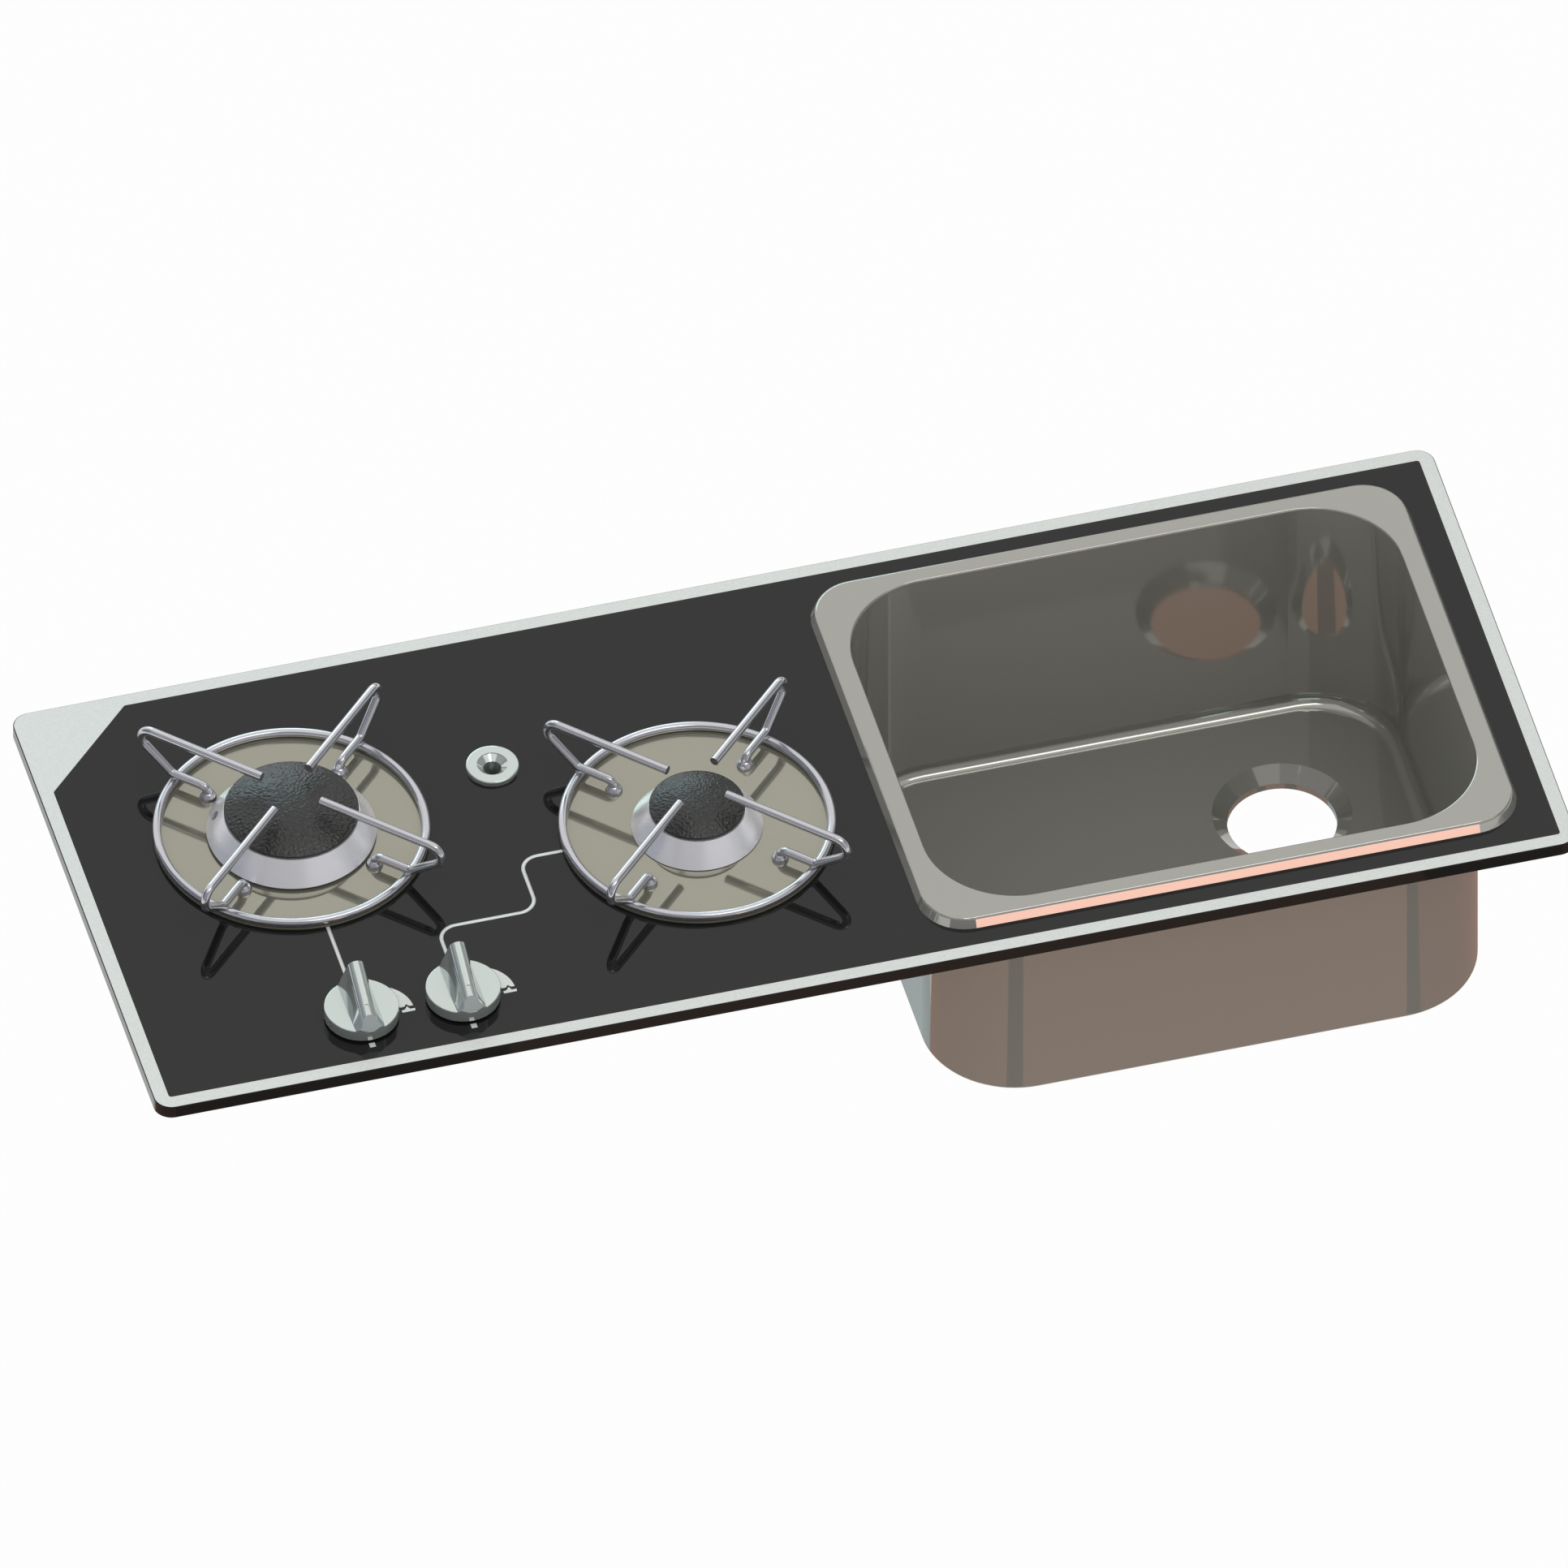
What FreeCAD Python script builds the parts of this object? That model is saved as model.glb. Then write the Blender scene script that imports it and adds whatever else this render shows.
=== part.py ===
import FreeCAD, Part
import math
import os
from collections import namedtuple

from FreeCAD import Placement, Rotation, Vector

# A hob and sink unit that drops into a worktop: one glass plate with two gas burners and a bowl.
# Millimetres. +X runs right, +Y back, +Z up; the origin is the plate's centre on the worktop plane.

# Cuts and fits
overrun = 1.0
fit_clearance = 0.05
loose_clearance = 0.3
thread_clearance = 0.05

# Glass plate
plate_length = 800.0
plate_width = 314.0
plate_thickness = 8.0
plate_corner_radius = 10.0
plate_edge_chamfer = 0.3

# Seal between the plate and the worktop
worktop_seal_thickness = 2.0
worktop_seal_width = 12.0
worktop_seal_inset = 3.0

# Sink bowl, a pressed sheet with a raised rim that is turned down onto the glass
bowl_length_share = 0.38625
bowl_front_margin = 32.9
bowl_inside_depth = 148.5
bowl_corner_radius = 51.0
bowl_floor_radius = 8.0
bowl_base_edge_radius = 2.5
bowl_sheet = 1.0
rim_height = 5.8
rim_end_width = 13.8
rim_side_width = 12.5
rim_slope = 24.0
rim_corner_radius = 26.5
rim_outer_edge_radius = 2.0
rim_inner_edge_radius = 1.6
bowl_cutout_clearance = 1.5
rim_seal_gap = 1.0

# Drain recess, off the bowl's centre towards the back and the right
drain_length_share = 0.2539
drain_width_share = 0.1762
drain_recess_radius = 38.25
drain_hole_radius = 30.0
drain_recess_depth = 7.2
drain_collar_length = 4.0

# Sink clamps: angles on the bowl's wall with a screw and pad that press up on the glass
clamp_sheet = 1.5
clamp_reach = 12.5
clamp_width = 14.0
clamp_height = 11.0
clamp_drop = 12.5
clamp_screw_out = 7.0
clamp_screw_radius = 2.5
clamp_screw_tail = 5.0
clamp_pad_radius = 4.0
clamp_pad_thickness = 1.5
clamp_head_flats = 8.0
clamp_head_height = 3.0
clamp_side_offset = 25.0
clamp_back_share = 0.22727
clamp_back_gap = 4.4
clamp_end_gap = 9.0

# Burner box under the hob, deep behind and with a shallow shelf for the taps in front
box_end_margin = 32.0
box_side_margin = 23.0
box_clamp_gap = 2.55
box_shelf_width = 49.0
box_sheet = 0.8
box_corner_radius = 12.0
box_flange_width = 7.0
box_seal_thickness = 1.5
box_shelf_depth = 20.5
box_full_depth = 52.5
vent_length = 40.0
vent_width = 4.0
vent_pitch = 14.0
vent_count = 7
vent_share = 0.534455
vent_back_margin = 34.0

# Brackets that take the holding screws from below the worktop
bracket_hole_inset = 20.0
bracket_hole_y = 60.0
bracket_hole_radius = 2.25
bracket_end_margin = 9.0
bracket_sheet = 2.0
bracket_width = 16.0
bracket_height = 25.0
bracket_drop = 28.0

# Burners
left_burner_length_share = 0.28517
left_burner_width_share = 0.10016
left_seat_height = 3.15
left_skirt_radius = 46.4
left_cap_radius = 36.8
left_cap_dome = 9.0
left_probe_angle = 160.0
right_burner_length_share = 0.7728
right_burner_width_share = -0.06656
right_seat_height = 1.8
right_skirt_radius = 35.95
right_cap_radius = 26.2
right_cap_dome = 7.0
right_probe_angle = 28.0

# Spill trays on the glass
tray_radius = 75.4
tray_sheet = 0.6
tray_collar_length = 4.0
glass_hole_margin = 2.4

# Burner cup with its mixing tube
cup_inset = 8.0
cup_wall = 2.0
cup_flange_width = 5.0
cup_neck_height = 4.6
cup_depth = 16.6
cup_floor = 2.5
mixing_tube_radius = 8.5
mixing_tube_wall = 2.0
mixing_tube_length = 30.0
air_window_width = 6.0
air_window_height = 9.0
air_window_gap = 7.0
air_window_count = 4

# Flame spreader
skirt_drop = 1.3
skirt_height = 12.9
skirt_wall = 2.2
spreader_lip = 0.5
spreader_deck = 2.4
crown_height = 0.6
crown_inset = 4.0
groove_count = 36
groove_width = 1.2
groove_depth = 1.7
groove_inset = 1.5
probe_hole_radius = 3.0
probe_hole_share = 0.5

# Burner cap
cap_edge = 1.4
cap_lip_depth = 3.0
cap_lip_wall = 2.5
cap_lip_clearance = 0.5

# Injector and its holder on the box's floor
holder_size = 22.0
holder_spigot_height = 5.0
holder_stud_radius = 5.0
holder_stud_length = 11.0
holder_nut_flats = 17.0
holder_nut_height = 5.0
injector_shank_radius = 2.5
injector_shank_length = 7.0
injector_hex_flats = 7.0
injector_hex_height = 3.0
injector_nose_radius = 1.5
injector_nose_length = 4.0
injector_bore_radius = 0.4

# Pan supports, bent and welded from round wire
wire_radius = 2.5
support_ring_radius = 73.2
support_ring_gap = 0.2
weld_sink = 0.6
support_arm_count = 4
support_arm_angle = 45.0
leg_radius = 52.2
leg_end_gap = 1.5
leg_bend_radius = 4.5
kink_radius = 74.8
kink_bend_radius = 5.0
rise_angle = 39.0
arm_top_height = 33.0
arm_bend_radius = 6.6
arm_end_radius = 18.5
foot_radius = 4.8

# Knobs, pushed in and turned
left_knob_share = 0.285422
right_knob_share = 0.415511
knob_front_margin = 41.5
knob_radius = 20.5
knob_disc_height = 6.9
knob_gap = 1.6
knob_disc_edge = 0.6
knob_recess_radius = 13.0
knob_recess_depth = 4.9
fin_base_width = 17.6
fin_top_width = 9.0
fin_front_y = -16.2
fin_front_height = 15.3
fin_back_y = 12.5
fin_back_height = 28.9
fin_heel_y = 18.0
fin_toe_y = -20.3
slot_width = 2.3
slot_length = 5.5
slot_depth = 0.8
slot_from_front = 7.5

# Taps under the knobs
tap_size = 21.0
tap_height = 12.7
plug_top_radius = 6.4
plug_bottom_radius = 5.2
plug_floor = 2.0
plug_top_gap = 0.1
plug_seat_gap = 0.3
spindle_radius = 3.0
spindle_flat = 2.2
spindle_grip = 8.0
spindle_engagement = 5.5
spindle_foot_room = 2.8
gland_radius = 10.0
gland_thickness = 2.0
gland_neck_radius = 6.0
gland_neck_height = 5.3
gland_screw_radius = 1.2
gland_screw_head_radius = 1.8
gland_screw_head_height = 1.2
gland_screw_length = 4.0
gland_screw_circle_radius = 8.1
tap_screw_radius = 1.9
tap_screw_head_radius = 3.4
tap_screw_head_height = 1.8
tap_screw_length = 7.0
tap_screw_offset = 7.6
spring_radius = 4.6
spring_wire_radius = 0.4
spring_turns = 6

# Rubber seal round each spindle in the glass
knob_hole_radius = 8.5
knob_seal_bore_radius = 6.0
knob_seal_flange_radius = 11.0
knob_seal_flange_thickness = 1.0
knob_seal_lip_radius = 10.0
knob_seal_lip_thickness = 1.2

# Gas pipes
manifold_offset = 22.5
manifold_radius = 4.5
manifold_end = 7.0
tee_radius = 4.0
inlet_pipe_radius = 5.0
inlet_stub_radius = 4.0
inlet_stub_length = 12.0
inlet_bore_radius = 3.0
inlet_bore_depth = 30.0
grommet_radius = 8.5
grommet_groove_radius = 6.5
grommet_lip = 2.0
supply_radius = 3.0
supply_bend_radius = 8.0
supply_port_offset = 5.0
supply_side_run = 15.0
supply_drop_start = 45.5
supply_drop_run = 25.0
supply_level = 7.2
pipe_nut_radius = 4.2
pipe_nut_length = 6.0

# Thermocouples: a probe under each spreader's hole and a lead to the tap
probe_radius = 2.2
probe_gap = 2.0
probe_tip_height = 4.4
lead_radius = 1.5
lead_bend_radius = 8.0
lead_port_offset = 5.5
lead_nut_radius = 3.5
lead_nut_length = 8.0
lead_side_run = 18.5

# Centre bush, a flanged socket between the burners
bush_length_share = 0.554242
bush_width_share = 0.16178
bush_flange_radius = 14.5
bush_flange_height = 3.0
bush_flange_edge = 1.0
bush_stem_radius = 8.2
bush_stem_length = 16.0
bush_recess_radius = 8.5
bush_recess_land = 0.6
bush_bore_radius = 5.0
bush_cone_depth = 2.6
bush_washer_radius = 14.0
bush_washer_thickness = 1.5
bush_nut_flats = 24.0
bush_nut_height = 5.0

# Levels
glass_bottom = worktop_seal_thickness
glass_top = glass_bottom + plate_thickness
rim_top = glass_top + rim_height
bowl_floor_top = rim_top - bowl_inside_depth
bowl_floor_bottom = bowl_floor_top - bowl_sheet
box_top = glass_bottom - box_seal_thickness
shelf_floor = box_top - box_shelf_depth + box_sheet
box_floor = box_top - box_full_depth + box_sheet
tray_top = glass_top + tray_sheet
cup_bottom = tray_top - cup_depth
mixing_tube_bottom = cup_bottom - mixing_tube_length
spigot_top = mixing_tube_bottom + holder_spigot_height
tap_top = shelf_floor + tap_height
gland_top = tap_top + gland_thickness + gland_neck_height
knob_bottom = glass_top + knob_gap
knob_disc_top = knob_bottom + knob_disc_height
knob_recess_top = knob_bottom + knob_recess_depth
port_level = shelf_floor + tap_height / 2
ring_level = tray_top + support_ring_gap + wire_radius
arm_low_level = ring_level + 2 * wire_radius - weld_sink
arm_top_level = glass_top + arm_top_height

# The sink's plan: its clamps stay clear of the worktop seal
clamp_room = worktop_seal_inset + worktop_seal_width + clamp_reach + bowl_sheet
bowl_back_margin = clamp_room + clamp_back_gap
bowl_end_margin = clamp_room + clamp_end_gap
bowl_inside_length = bowl_length_share * plate_length
bowl_inside_width = plate_width - bowl_front_margin - bowl_back_margin
bowl_outside_length = bowl_inside_length + 2 * bowl_sheet
bowl_outside_width = bowl_inside_width + 2 * bowl_sheet
bowl_x = plate_length / 2 - bowl_end_margin - bowl_inside_length / 2
bowl_y = (bowl_front_margin - bowl_back_margin) / 2
drain_x = bowl_x + drain_length_share * bowl_inside_length
drain_y = bowl_y + drain_width_share * bowl_inside_width
clamp_back_offset = clamp_back_share * bowl_inside_length

# The hob's plan: places along it are shares of its length, from the plate's left end to the rim
hob_left = -plate_length / 2
hob_length = plate_length - bowl_end_margin - bowl_inside_length - rim_end_width
left_burner_x = hob_left + left_burner_length_share * hob_length
left_burner_y = left_burner_width_share * plate_width
right_burner_x = hob_left + right_burner_length_share * hob_length
right_burner_y = right_burner_width_share * plate_width
left_knob_x = hob_left + left_knob_share * hob_length
right_knob_x = hob_left + right_knob_share * hob_length
knob_y = knob_front_margin - plate_width / 2
bush_x = hob_left + bush_length_share * hob_length
bush_y = bush_width_share * plate_width
box_left = hob_left + box_end_margin
box_right = bowl_x - bowl_outside_length / 2 - clamp_reach - box_clamp_gap - box_flange_width
box_front = box_side_margin - plate_width / 2
box_back = plate_width / 2 - box_side_margin
box_step = box_front + box_shelf_width
vent_x = hob_left + vent_share * hob_length
vent_y = box_back - vent_back_margin
bracket_hole_x = plate_length / 2 - bracket_hole_inset
manifold_y = knob_y + manifold_offset
inlet_x = (left_knob_x + right_knob_x) / 2
mixing_tube_bore = mixing_tube_radius - mixing_tube_wall

up = Vector(0, 0, 1)
right = Vector(1, 0, 0)
back = Vector(0, 1, 0)

Burner = namedtuple("Burner", "side x y seat_height skirt_radius cap_radius dome probe_angle tap_x outward")
burners = [
    Burner("left", left_burner_x, left_burner_y, left_seat_height, left_skirt_radius, left_cap_radius,
           left_cap_dome, left_probe_angle, left_knob_x, -1),
    Burner("right", right_burner_x, right_burner_y, right_seat_height, right_skirt_radius, right_cap_radius,
           right_cap_dome, right_probe_angle, right_knob_x, 1),
]


# Helpers for plain shapes
def rounded_block(x_low, x_high, y_low, y_high, low, high, corner):
    """A block with rounded upright edges."""
    bend = corner * (1 - math.sqrt(0.5))
    edges = []
    corners = [
        (x_high, y_low, -1, 1), (x_high, y_high, -1, -1),
        (x_low, y_high, 1, -1), (x_low, y_low, 1, 1),
    ]
    starts = []
    for number, (x, y, inward_x, inward_y) in enumerate(corners):
        along_x = Vector(x + inward_x * corner, y, low)
        along_y = Vector(x, y + inward_y * corner, low)
        middle = Vector(x + inward_x * bend, y + inward_y * bend, low)
        first, last = (along_x, along_y) if number % 2 == 0 else (along_y, along_x)
        starts.append((first, middle, last))
    for number, (first, middle, last) in enumerate(starts):
        following = starts[(number + 1) % len(starts)][0]
        edges.append(Part.Arc(first, middle, last).toShape())
        edges.append(Part.LineSegment(last, following).toShape())
    return Part.Face(Part.Wire(edges)).extrude(Vector(0, 0, high - low))


def centred_block(x, y, length, width, low, high, corner):
    """A rounded block about a plan centre."""
    return rounded_block(x - length / 2, x + length / 2, y - width / 2, y + width / 2,
                         low, high, corner)


def square_block(x, y, length, width, low, high):
    """A sharp-edged block about a plan centre."""
    return Part.makeBox(length, width, high - low, Vector(x - length / 2, y - width / 2, low))


def round_bar(x, y, low, high, radius):
    """An upright cylinder."""
    return Part.makeCylinder(radius, high - low, Vector(x, y, low), up)


def bar_between(start, end, radius):
    """A cylinder from one point to another."""
    return Part.makeCylinder(radius, (end - start).Length, start, end - start)


def turned(x, y, outline):
    """A turned piece about an upright axis; outline holds (radius, level) points."""
    points = [Vector(radius, 0, level) for radius, level in outline]
    face = Part.Face(Part.makePolygon(points + points[:1]))
    return turn_face(x, y, face)


def turn_face(x, y, face):
    """Turn a face in the XZ plane fully round and move it to its plan centre."""
    solid = face.revolve(Vector(0, 0, 0), up, 360)
    solid.translate(Vector(x, y, 0))
    return solid


def hexagon(x, y, low, high, flats):
    """A hexagonal prism, sized across its flats."""
    sides = 6
    reach = flats / 2 / math.cos(math.pi / sides)
    points = []
    for number in range(sides + 1):
        angle = 2 * math.pi * number / sides
        points.append(Vector(x + reach * math.cos(angle), y + reach * math.sin(angle), low))
    return Part.Face(Part.makePolygon(points)).extrude(Vector(0, 0, high - low))


def bent_path(points, radii):
    """Straight runs joined by tangent arcs, with one radius for each inner point."""
    edges = []
    start = points[0]
    for before, corner, after, radius in zip(points, points[1:], points[2:], radii):
        inward = (before - corner).normalize()
        outward = (after - corner).normalize()
        half_turn = (math.pi - inward.getAngle(outward)) / 2
        setback = radius * math.tan(half_turn)
        first = corner + inward * setback
        last = corner + outward * setback
        bisector = (inward + outward).normalize()
        middle = corner + bisector * (radius / math.cos(half_turn) - radius)
        edges.append(Part.LineSegment(start, first).toShape())
        edges.append(Part.Arc(first, middle, last).toShape())
        start = last
    edges.append(Part.LineSegment(start, points[-1]).toShape())
    return Part.Wire(edges)


def bent_rod(points, radii, rod_radius):
    """A round rod swept along a bent path."""
    path = bent_path(points, radii)
    section = Part.Wire(Part.makeCircle(rod_radius, points[0], points[1] - points[0]))
    return path.makePipeShell([section], True, False)


def joined(shapes):
    """One solid from shapes that overlap or touch."""
    whole = shapes[0].multiFuse(shapes[1:]).removeSplitter()
    return whole.Solids[0] if len(whole.Solids) == 1 else whole


def without(shape, cutters):
    """A shape less its cutters."""
    rest = shape.cut(cutters)
    return rest.Solids[0] if len(rest.Solids) == 1 else rest


def turned_about(shape, x, y, angle):
    """A copy of a shape made at the origin, turned about Z and moved to a plan place."""
    copy = shape.copy()
    copy.Placement = Placement(Vector(x, y, 0), Rotation(up, angle))
    return copy


def edges_at(shape, level):
    """The edges that lie flat at one level."""
    found = []
    for edge in shape.Edges:
        box = edge.BoundBox
        if max(abs(box.ZMin - level), abs(box.ZMax - level)) < fit_clearance:
            found.append(edge)
    return found


# Glass plate and its seal
def bowl_outline(grow, low, high):
    """The bowl's outside outline as a block, grown by a margin."""
    return centred_block(bowl_x, bowl_y, bowl_outside_length + 2 * grow, bowl_outside_width + 2 * grow,
                         low, high, bowl_corner_radius + bowl_sheet + grow)


def rim_outline(shrink, low, high):
    """The rim's outline at its foot as an upright block, drawn in by a margin."""
    length = bowl_inside_length + 2 * (rim_end_width - shrink)
    width = bowl_inside_width + 2 * (rim_side_width - shrink)
    return centred_block(bowl_x, bowl_y, length, width, low, high, rim_corner_radius - shrink)


def rim_block(shrink, low, high):
    """The rim as a block whose walls lean inwards from its foot, drawn in by a margin."""
    lean = math.tan(math.radians(rim_slope))
    outlines = []
    for level in (low, high):
        slab = rim_outline(shrink + (level - glass_top) * lean, level, level + overrun)
        outlines.append(Part.Wire(Part.sortEdges(edges_at(slab, level))[0]))
    return Part.makeLoft(outlines, True, True)


def glass_hole_radius(burner):
    return burner.skirt_radius - glass_hole_margin


def make_glass_top():
    plate = centred_block(0, 0, plate_length, plate_width, glass_bottom, glass_top, plate_corner_radius)
    plate = plate.makeChamfer(plate_edge_chamfer, [
        edge for edge in plate.Edges if edge.BoundBox.ZLength < fit_clearance])
    low = glass_bottom - overrun
    high = glass_top + overrun
    cutters = [bowl_outline(bowl_cutout_clearance, low, high)]
    for burner in burners:
        cutters.append(round_bar(burner.x, burner.y, low, high, glass_hole_radius(burner)))
        cutters.append(round_bar(burner.tap_x, knob_y, low, high, knob_hole_radius))
    cutters.append(round_bar(bush_x, bush_y, low, high, bush_stem_radius + loose_clearance))
    return without(plate, cutters)


def make_worktop_seal():
    outside = worktop_seal_inset
    inside = worktop_seal_inset + worktop_seal_width
    band = centred_block(0, 0, plate_length - 2 * outside, plate_width - 2 * outside,
                         0, glass_bottom, plate_corner_radius - outside)
    hole = centred_block(0, 0, plate_length - 2 * inside, plate_width - 2 * inside,
                         -overrun, glass_bottom + overrun, plate_corner_radius)
    return without(band, [hole])


# Sink
def make_sink_bowl():
    shell = bowl_outline(0, bowl_floor_bottom, rim_top)
    shell = shell.makeFillet(bowl_base_edge_radius, edges_at(shell, bowl_floor_bottom))
    rim = rim_block(0, glass_top, rim_top)
    rim = without(rim, [rim_block(bowl_sheet, glass_top - overrun, rim_top - bowl_sheet)])
    inside = centred_block(bowl_x, bowl_y, bowl_inside_length, bowl_inside_width,
                           bowl_floor_top, rim_top + overrun, bowl_corner_radius)
    inside = inside.makeFillet(bowl_floor_radius, edges_at(inside, bowl_floor_top))
    drain_neck = bowl_floor_top - drain_recess_depth
    drain_end = drain_neck - drain_collar_length
    drain_shell = turned(drain_x, drain_y, [
        (0, bowl_floor_top), (drain_recess_radius + bowl_sheet, bowl_floor_top),
        (drain_hole_radius + bowl_sheet, drain_neck), (drain_hole_radius + bowl_sheet, drain_end),
        (0, drain_end)])
    drain_bore = turned(drain_x, drain_y, [
        (0, bowl_floor_top + overrun), (drain_recess_radius, bowl_floor_top + overrun),
        (drain_recess_radius, bowl_floor_top), (drain_hole_radius, drain_neck),
        (drain_hole_radius, drain_end - overrun), (0, drain_end - overrun)])
    bowl = without(joined([shell, rim, drain_shell]), [inside, drain_bore])
    top_edges = edges_at(bowl, rim_top)
    inner_edges = [edge for edge in top_edges if on_inner_rim(edge)]
    outer_edges = [edge for edge in top_edges if not on_inner_rim(edge)]
    bowl = bowl.makeFillet(rim_inner_edge_radius, inner_edges)
    return bowl.makeFillet(rim_outer_edge_radius, outer_edges)


def on_inner_rim(edge):
    """Whether an edge of the rim's top runs round the bowl's mouth."""
    middle = edge.valueAt((edge.FirstParameter + edge.LastParameter) / 2)
    reach_x = abs(middle.x - bowl_x) - bowl_inside_length / 2
    reach_y = abs(middle.y - bowl_y) - bowl_inside_width / 2
    return max(reach_x, reach_y) < fit_clearance


def make_sink_rim_seal():
    inset = bowl_sheet + rim_height * math.tan(math.radians(rim_slope)) + rim_seal_gap
    band = rim_outline(inset, glass_top, rim_top - bowl_sheet)
    hole = bowl_outline(bowl_cutout_clearance + rim_seal_gap, glass_top - overrun, rim_top)
    return without(band, [hole])


def angle_piece(reach, width, height, sheet, foot_top, hole_out, hole_radius):
    """An angle on a wall at x = 0: a foot that stands out along +X and a leg up the wall."""
    foot = Part.makeBox(reach, width, sheet, Vector(0, -width / 2, foot_top - sheet))
    leg = Part.makeBox(sheet, width, height, Vector(0, -width / 2, foot_top - sheet))
    hole = round_bar(hole_out, 0, foot_top - sheet - overrun, foot_top + overrun, hole_radius)
    return without(joined([foot, leg]), [hole])


def clamp_places():
    """Plan place and facing of each sink clamp: two on the left, right and back walls."""
    half_length = bowl_outside_length / 2
    half_width = bowl_outside_width / 2
    places = []
    for sign in (-1, 1):
        places.append((bowl_x - half_length, bowl_y + sign * clamp_side_offset, 180))
        places.append((bowl_x + half_length, bowl_y + sign * clamp_side_offset, 0))
        places.append((bowl_x + sign * clamp_back_offset, bowl_y + half_width, 90))
    return places


def make_sink_clamps():
    clamp = angle_piece(clamp_reach, clamp_width, clamp_height, clamp_sheet, glass_bottom - clamp_drop,
                        clamp_screw_out, clamp_screw_radius + thread_clearance)
    return Part.makeCompound([turned_about(clamp, *place) for place in clamp_places()])


def make_sink_clamp_screws():
    foot_bottom = glass_bottom - clamp_drop - clamp_sheet
    tail = foot_bottom - clamp_screw_tail
    pad = round_bar(clamp_screw_out, 0, glass_bottom - clamp_pad_thickness, glass_bottom, clamp_pad_radius)
    shank = round_bar(clamp_screw_out, 0, tail, glass_bottom, clamp_screw_radius)
    head = hexagon(clamp_screw_out, 0, tail - clamp_head_height, tail, clamp_head_flats)
    screw = joined([pad, shank, head])
    return Part.makeCompound([turned_about(screw, *place) for place in clamp_places()])


# Burner box and what hangs the unit in the worktop
def box_outline(grow, low, high):
    """The box's full outline as a block, grown by a margin."""
    return rounded_block(box_left - grow, box_right + grow, box_front - grow, box_back + grow,
                         low, high, box_corner_radius + grow)


def deep_outline(grow, low, high):
    """The outline of the box's deep part as a block, grown by a margin."""
    return rounded_block(box_left - grow, box_right + grow, box_step - grow, box_back + grow,
                         low, high, box_corner_radius + grow)


def tap_screw_places():
    """Plan places of the screws that hold the taps to the shelf, in opposite corners of each tap."""
    places = []
    for burner in burners:
        for sign in (-1, 1):
            places.append((burner.tap_x + sign * tap_screw_offset, knob_y + sign * tap_screw_offset))
    return places


def make_burner_box():
    shelf_bottom = shelf_floor - box_sheet
    floor_bottom = box_floor - box_sheet
    outside = joined([
        box_outline(0, shelf_bottom, box_top),
        deep_outline(0, floor_bottom, shelf_bottom),
        box_outline(box_flange_width, box_top - box_sheet, box_top)])
    cutters = [
        box_outline(-box_sheet, shelf_floor, box_top + overrun),
        deep_outline(-box_sheet, box_floor, shelf_floor + overrun),
    ]
    for burner in burners:
        cutters.append(round_bar(burner.x, burner.y, floor_bottom - overrun, box_floor + overrun,
                                 holder_stud_radius + loose_clearance))
    for x, y in tap_screw_places():
        cutters.append(round_bar(x, y, shelf_bottom - overrun, shelf_floor + overrun,
                                 tap_screw_radius + thread_clearance))
    for number in range(vent_count):
        x = vent_x + (number - (vent_count - 1) / 2) * vent_pitch
        cutters.append(centred_block(x, vent_y, vent_width, vent_length, floor_bottom - overrun,
                                     box_floor + overrun, vent_width / 2 - fit_clearance))
    cutters.append(bar_between(Vector(inlet_x, box_back - box_sheet - overrun, port_level),
                               Vector(inlet_x, box_back + overrun, port_level), grommet_groove_radius))
    return without(outside, cutters)


def make_burner_box_seal():
    band = box_outline(box_flange_width, box_top, glass_bottom)
    return without(band, [box_outline(0, box_top - overrun, glass_bottom + overrun)])


def make_worktop_brackets():
    bowl_right = bowl_x + bowl_outside_length / 2
    brackets = []
    for sign in (-1, 1):
        for wall, hole_x, angle in ((box_left, -bracket_hole_x, 180), (bowl_right, bracket_hole_x, 0)):
            hole_out = abs(hole_x - wall)
            piece = angle_piece(hole_out + bracket_end_margin, bracket_width, bracket_height, bracket_sheet,
                                -bracket_drop, hole_out, bracket_hole_radius)
            brackets.append(turned_about(piece, wall, sign * bracket_hole_y, angle))
    return Part.makeCompound(brackets)


# Burners
def cup_radius(burner):
    return burner.cap_radius - cup_inset


def seat_level(burner):
    """Top of the cup's flange, on which the spreader sits."""
    return tray_top + burner.seat_height


def skirt_bottom(burner):
    return seat_level(burner) - skirt_drop


def skirt_top(burner):
    return skirt_bottom(burner) + skirt_height


def crown_top(burner):
    return skirt_top(burner) + crown_height


def probe_distance(burner):
    """How far the probe stands from its burner's axis."""
    return cup_radius(burner) + cup_flange_width + probe_gap + probe_radius


def probe_place(burner):
    angle = math.radians(burner.probe_angle)
    reach = probe_distance(burner)
    return burner.x + reach * math.cos(angle), burner.y + reach * math.sin(angle)


def make_spill_tray(burner):
    collar_radius = glass_hole_radius(burner) - loose_clearance
    collar_bottom = glass_top - tray_collar_length
    tray = turned(burner.x, burner.y, [
        (cup_radius(burner) + loose_clearance, glass_top), (collar_radius - tray_sheet, glass_top),
        (collar_radius - tray_sheet, collar_bottom), (collar_radius, collar_bottom),
        (collar_radius, glass_top), (tray_radius, glass_top), (tray_radius, tray_top),
        (cup_radius(burner) + loose_clearance, tray_top)])
    x, y = probe_place(burner)
    return without(tray, [round_bar(x, y, glass_top - overrun, tray_top + overrun,
                                    probe_radius + loose_clearance)])


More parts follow.
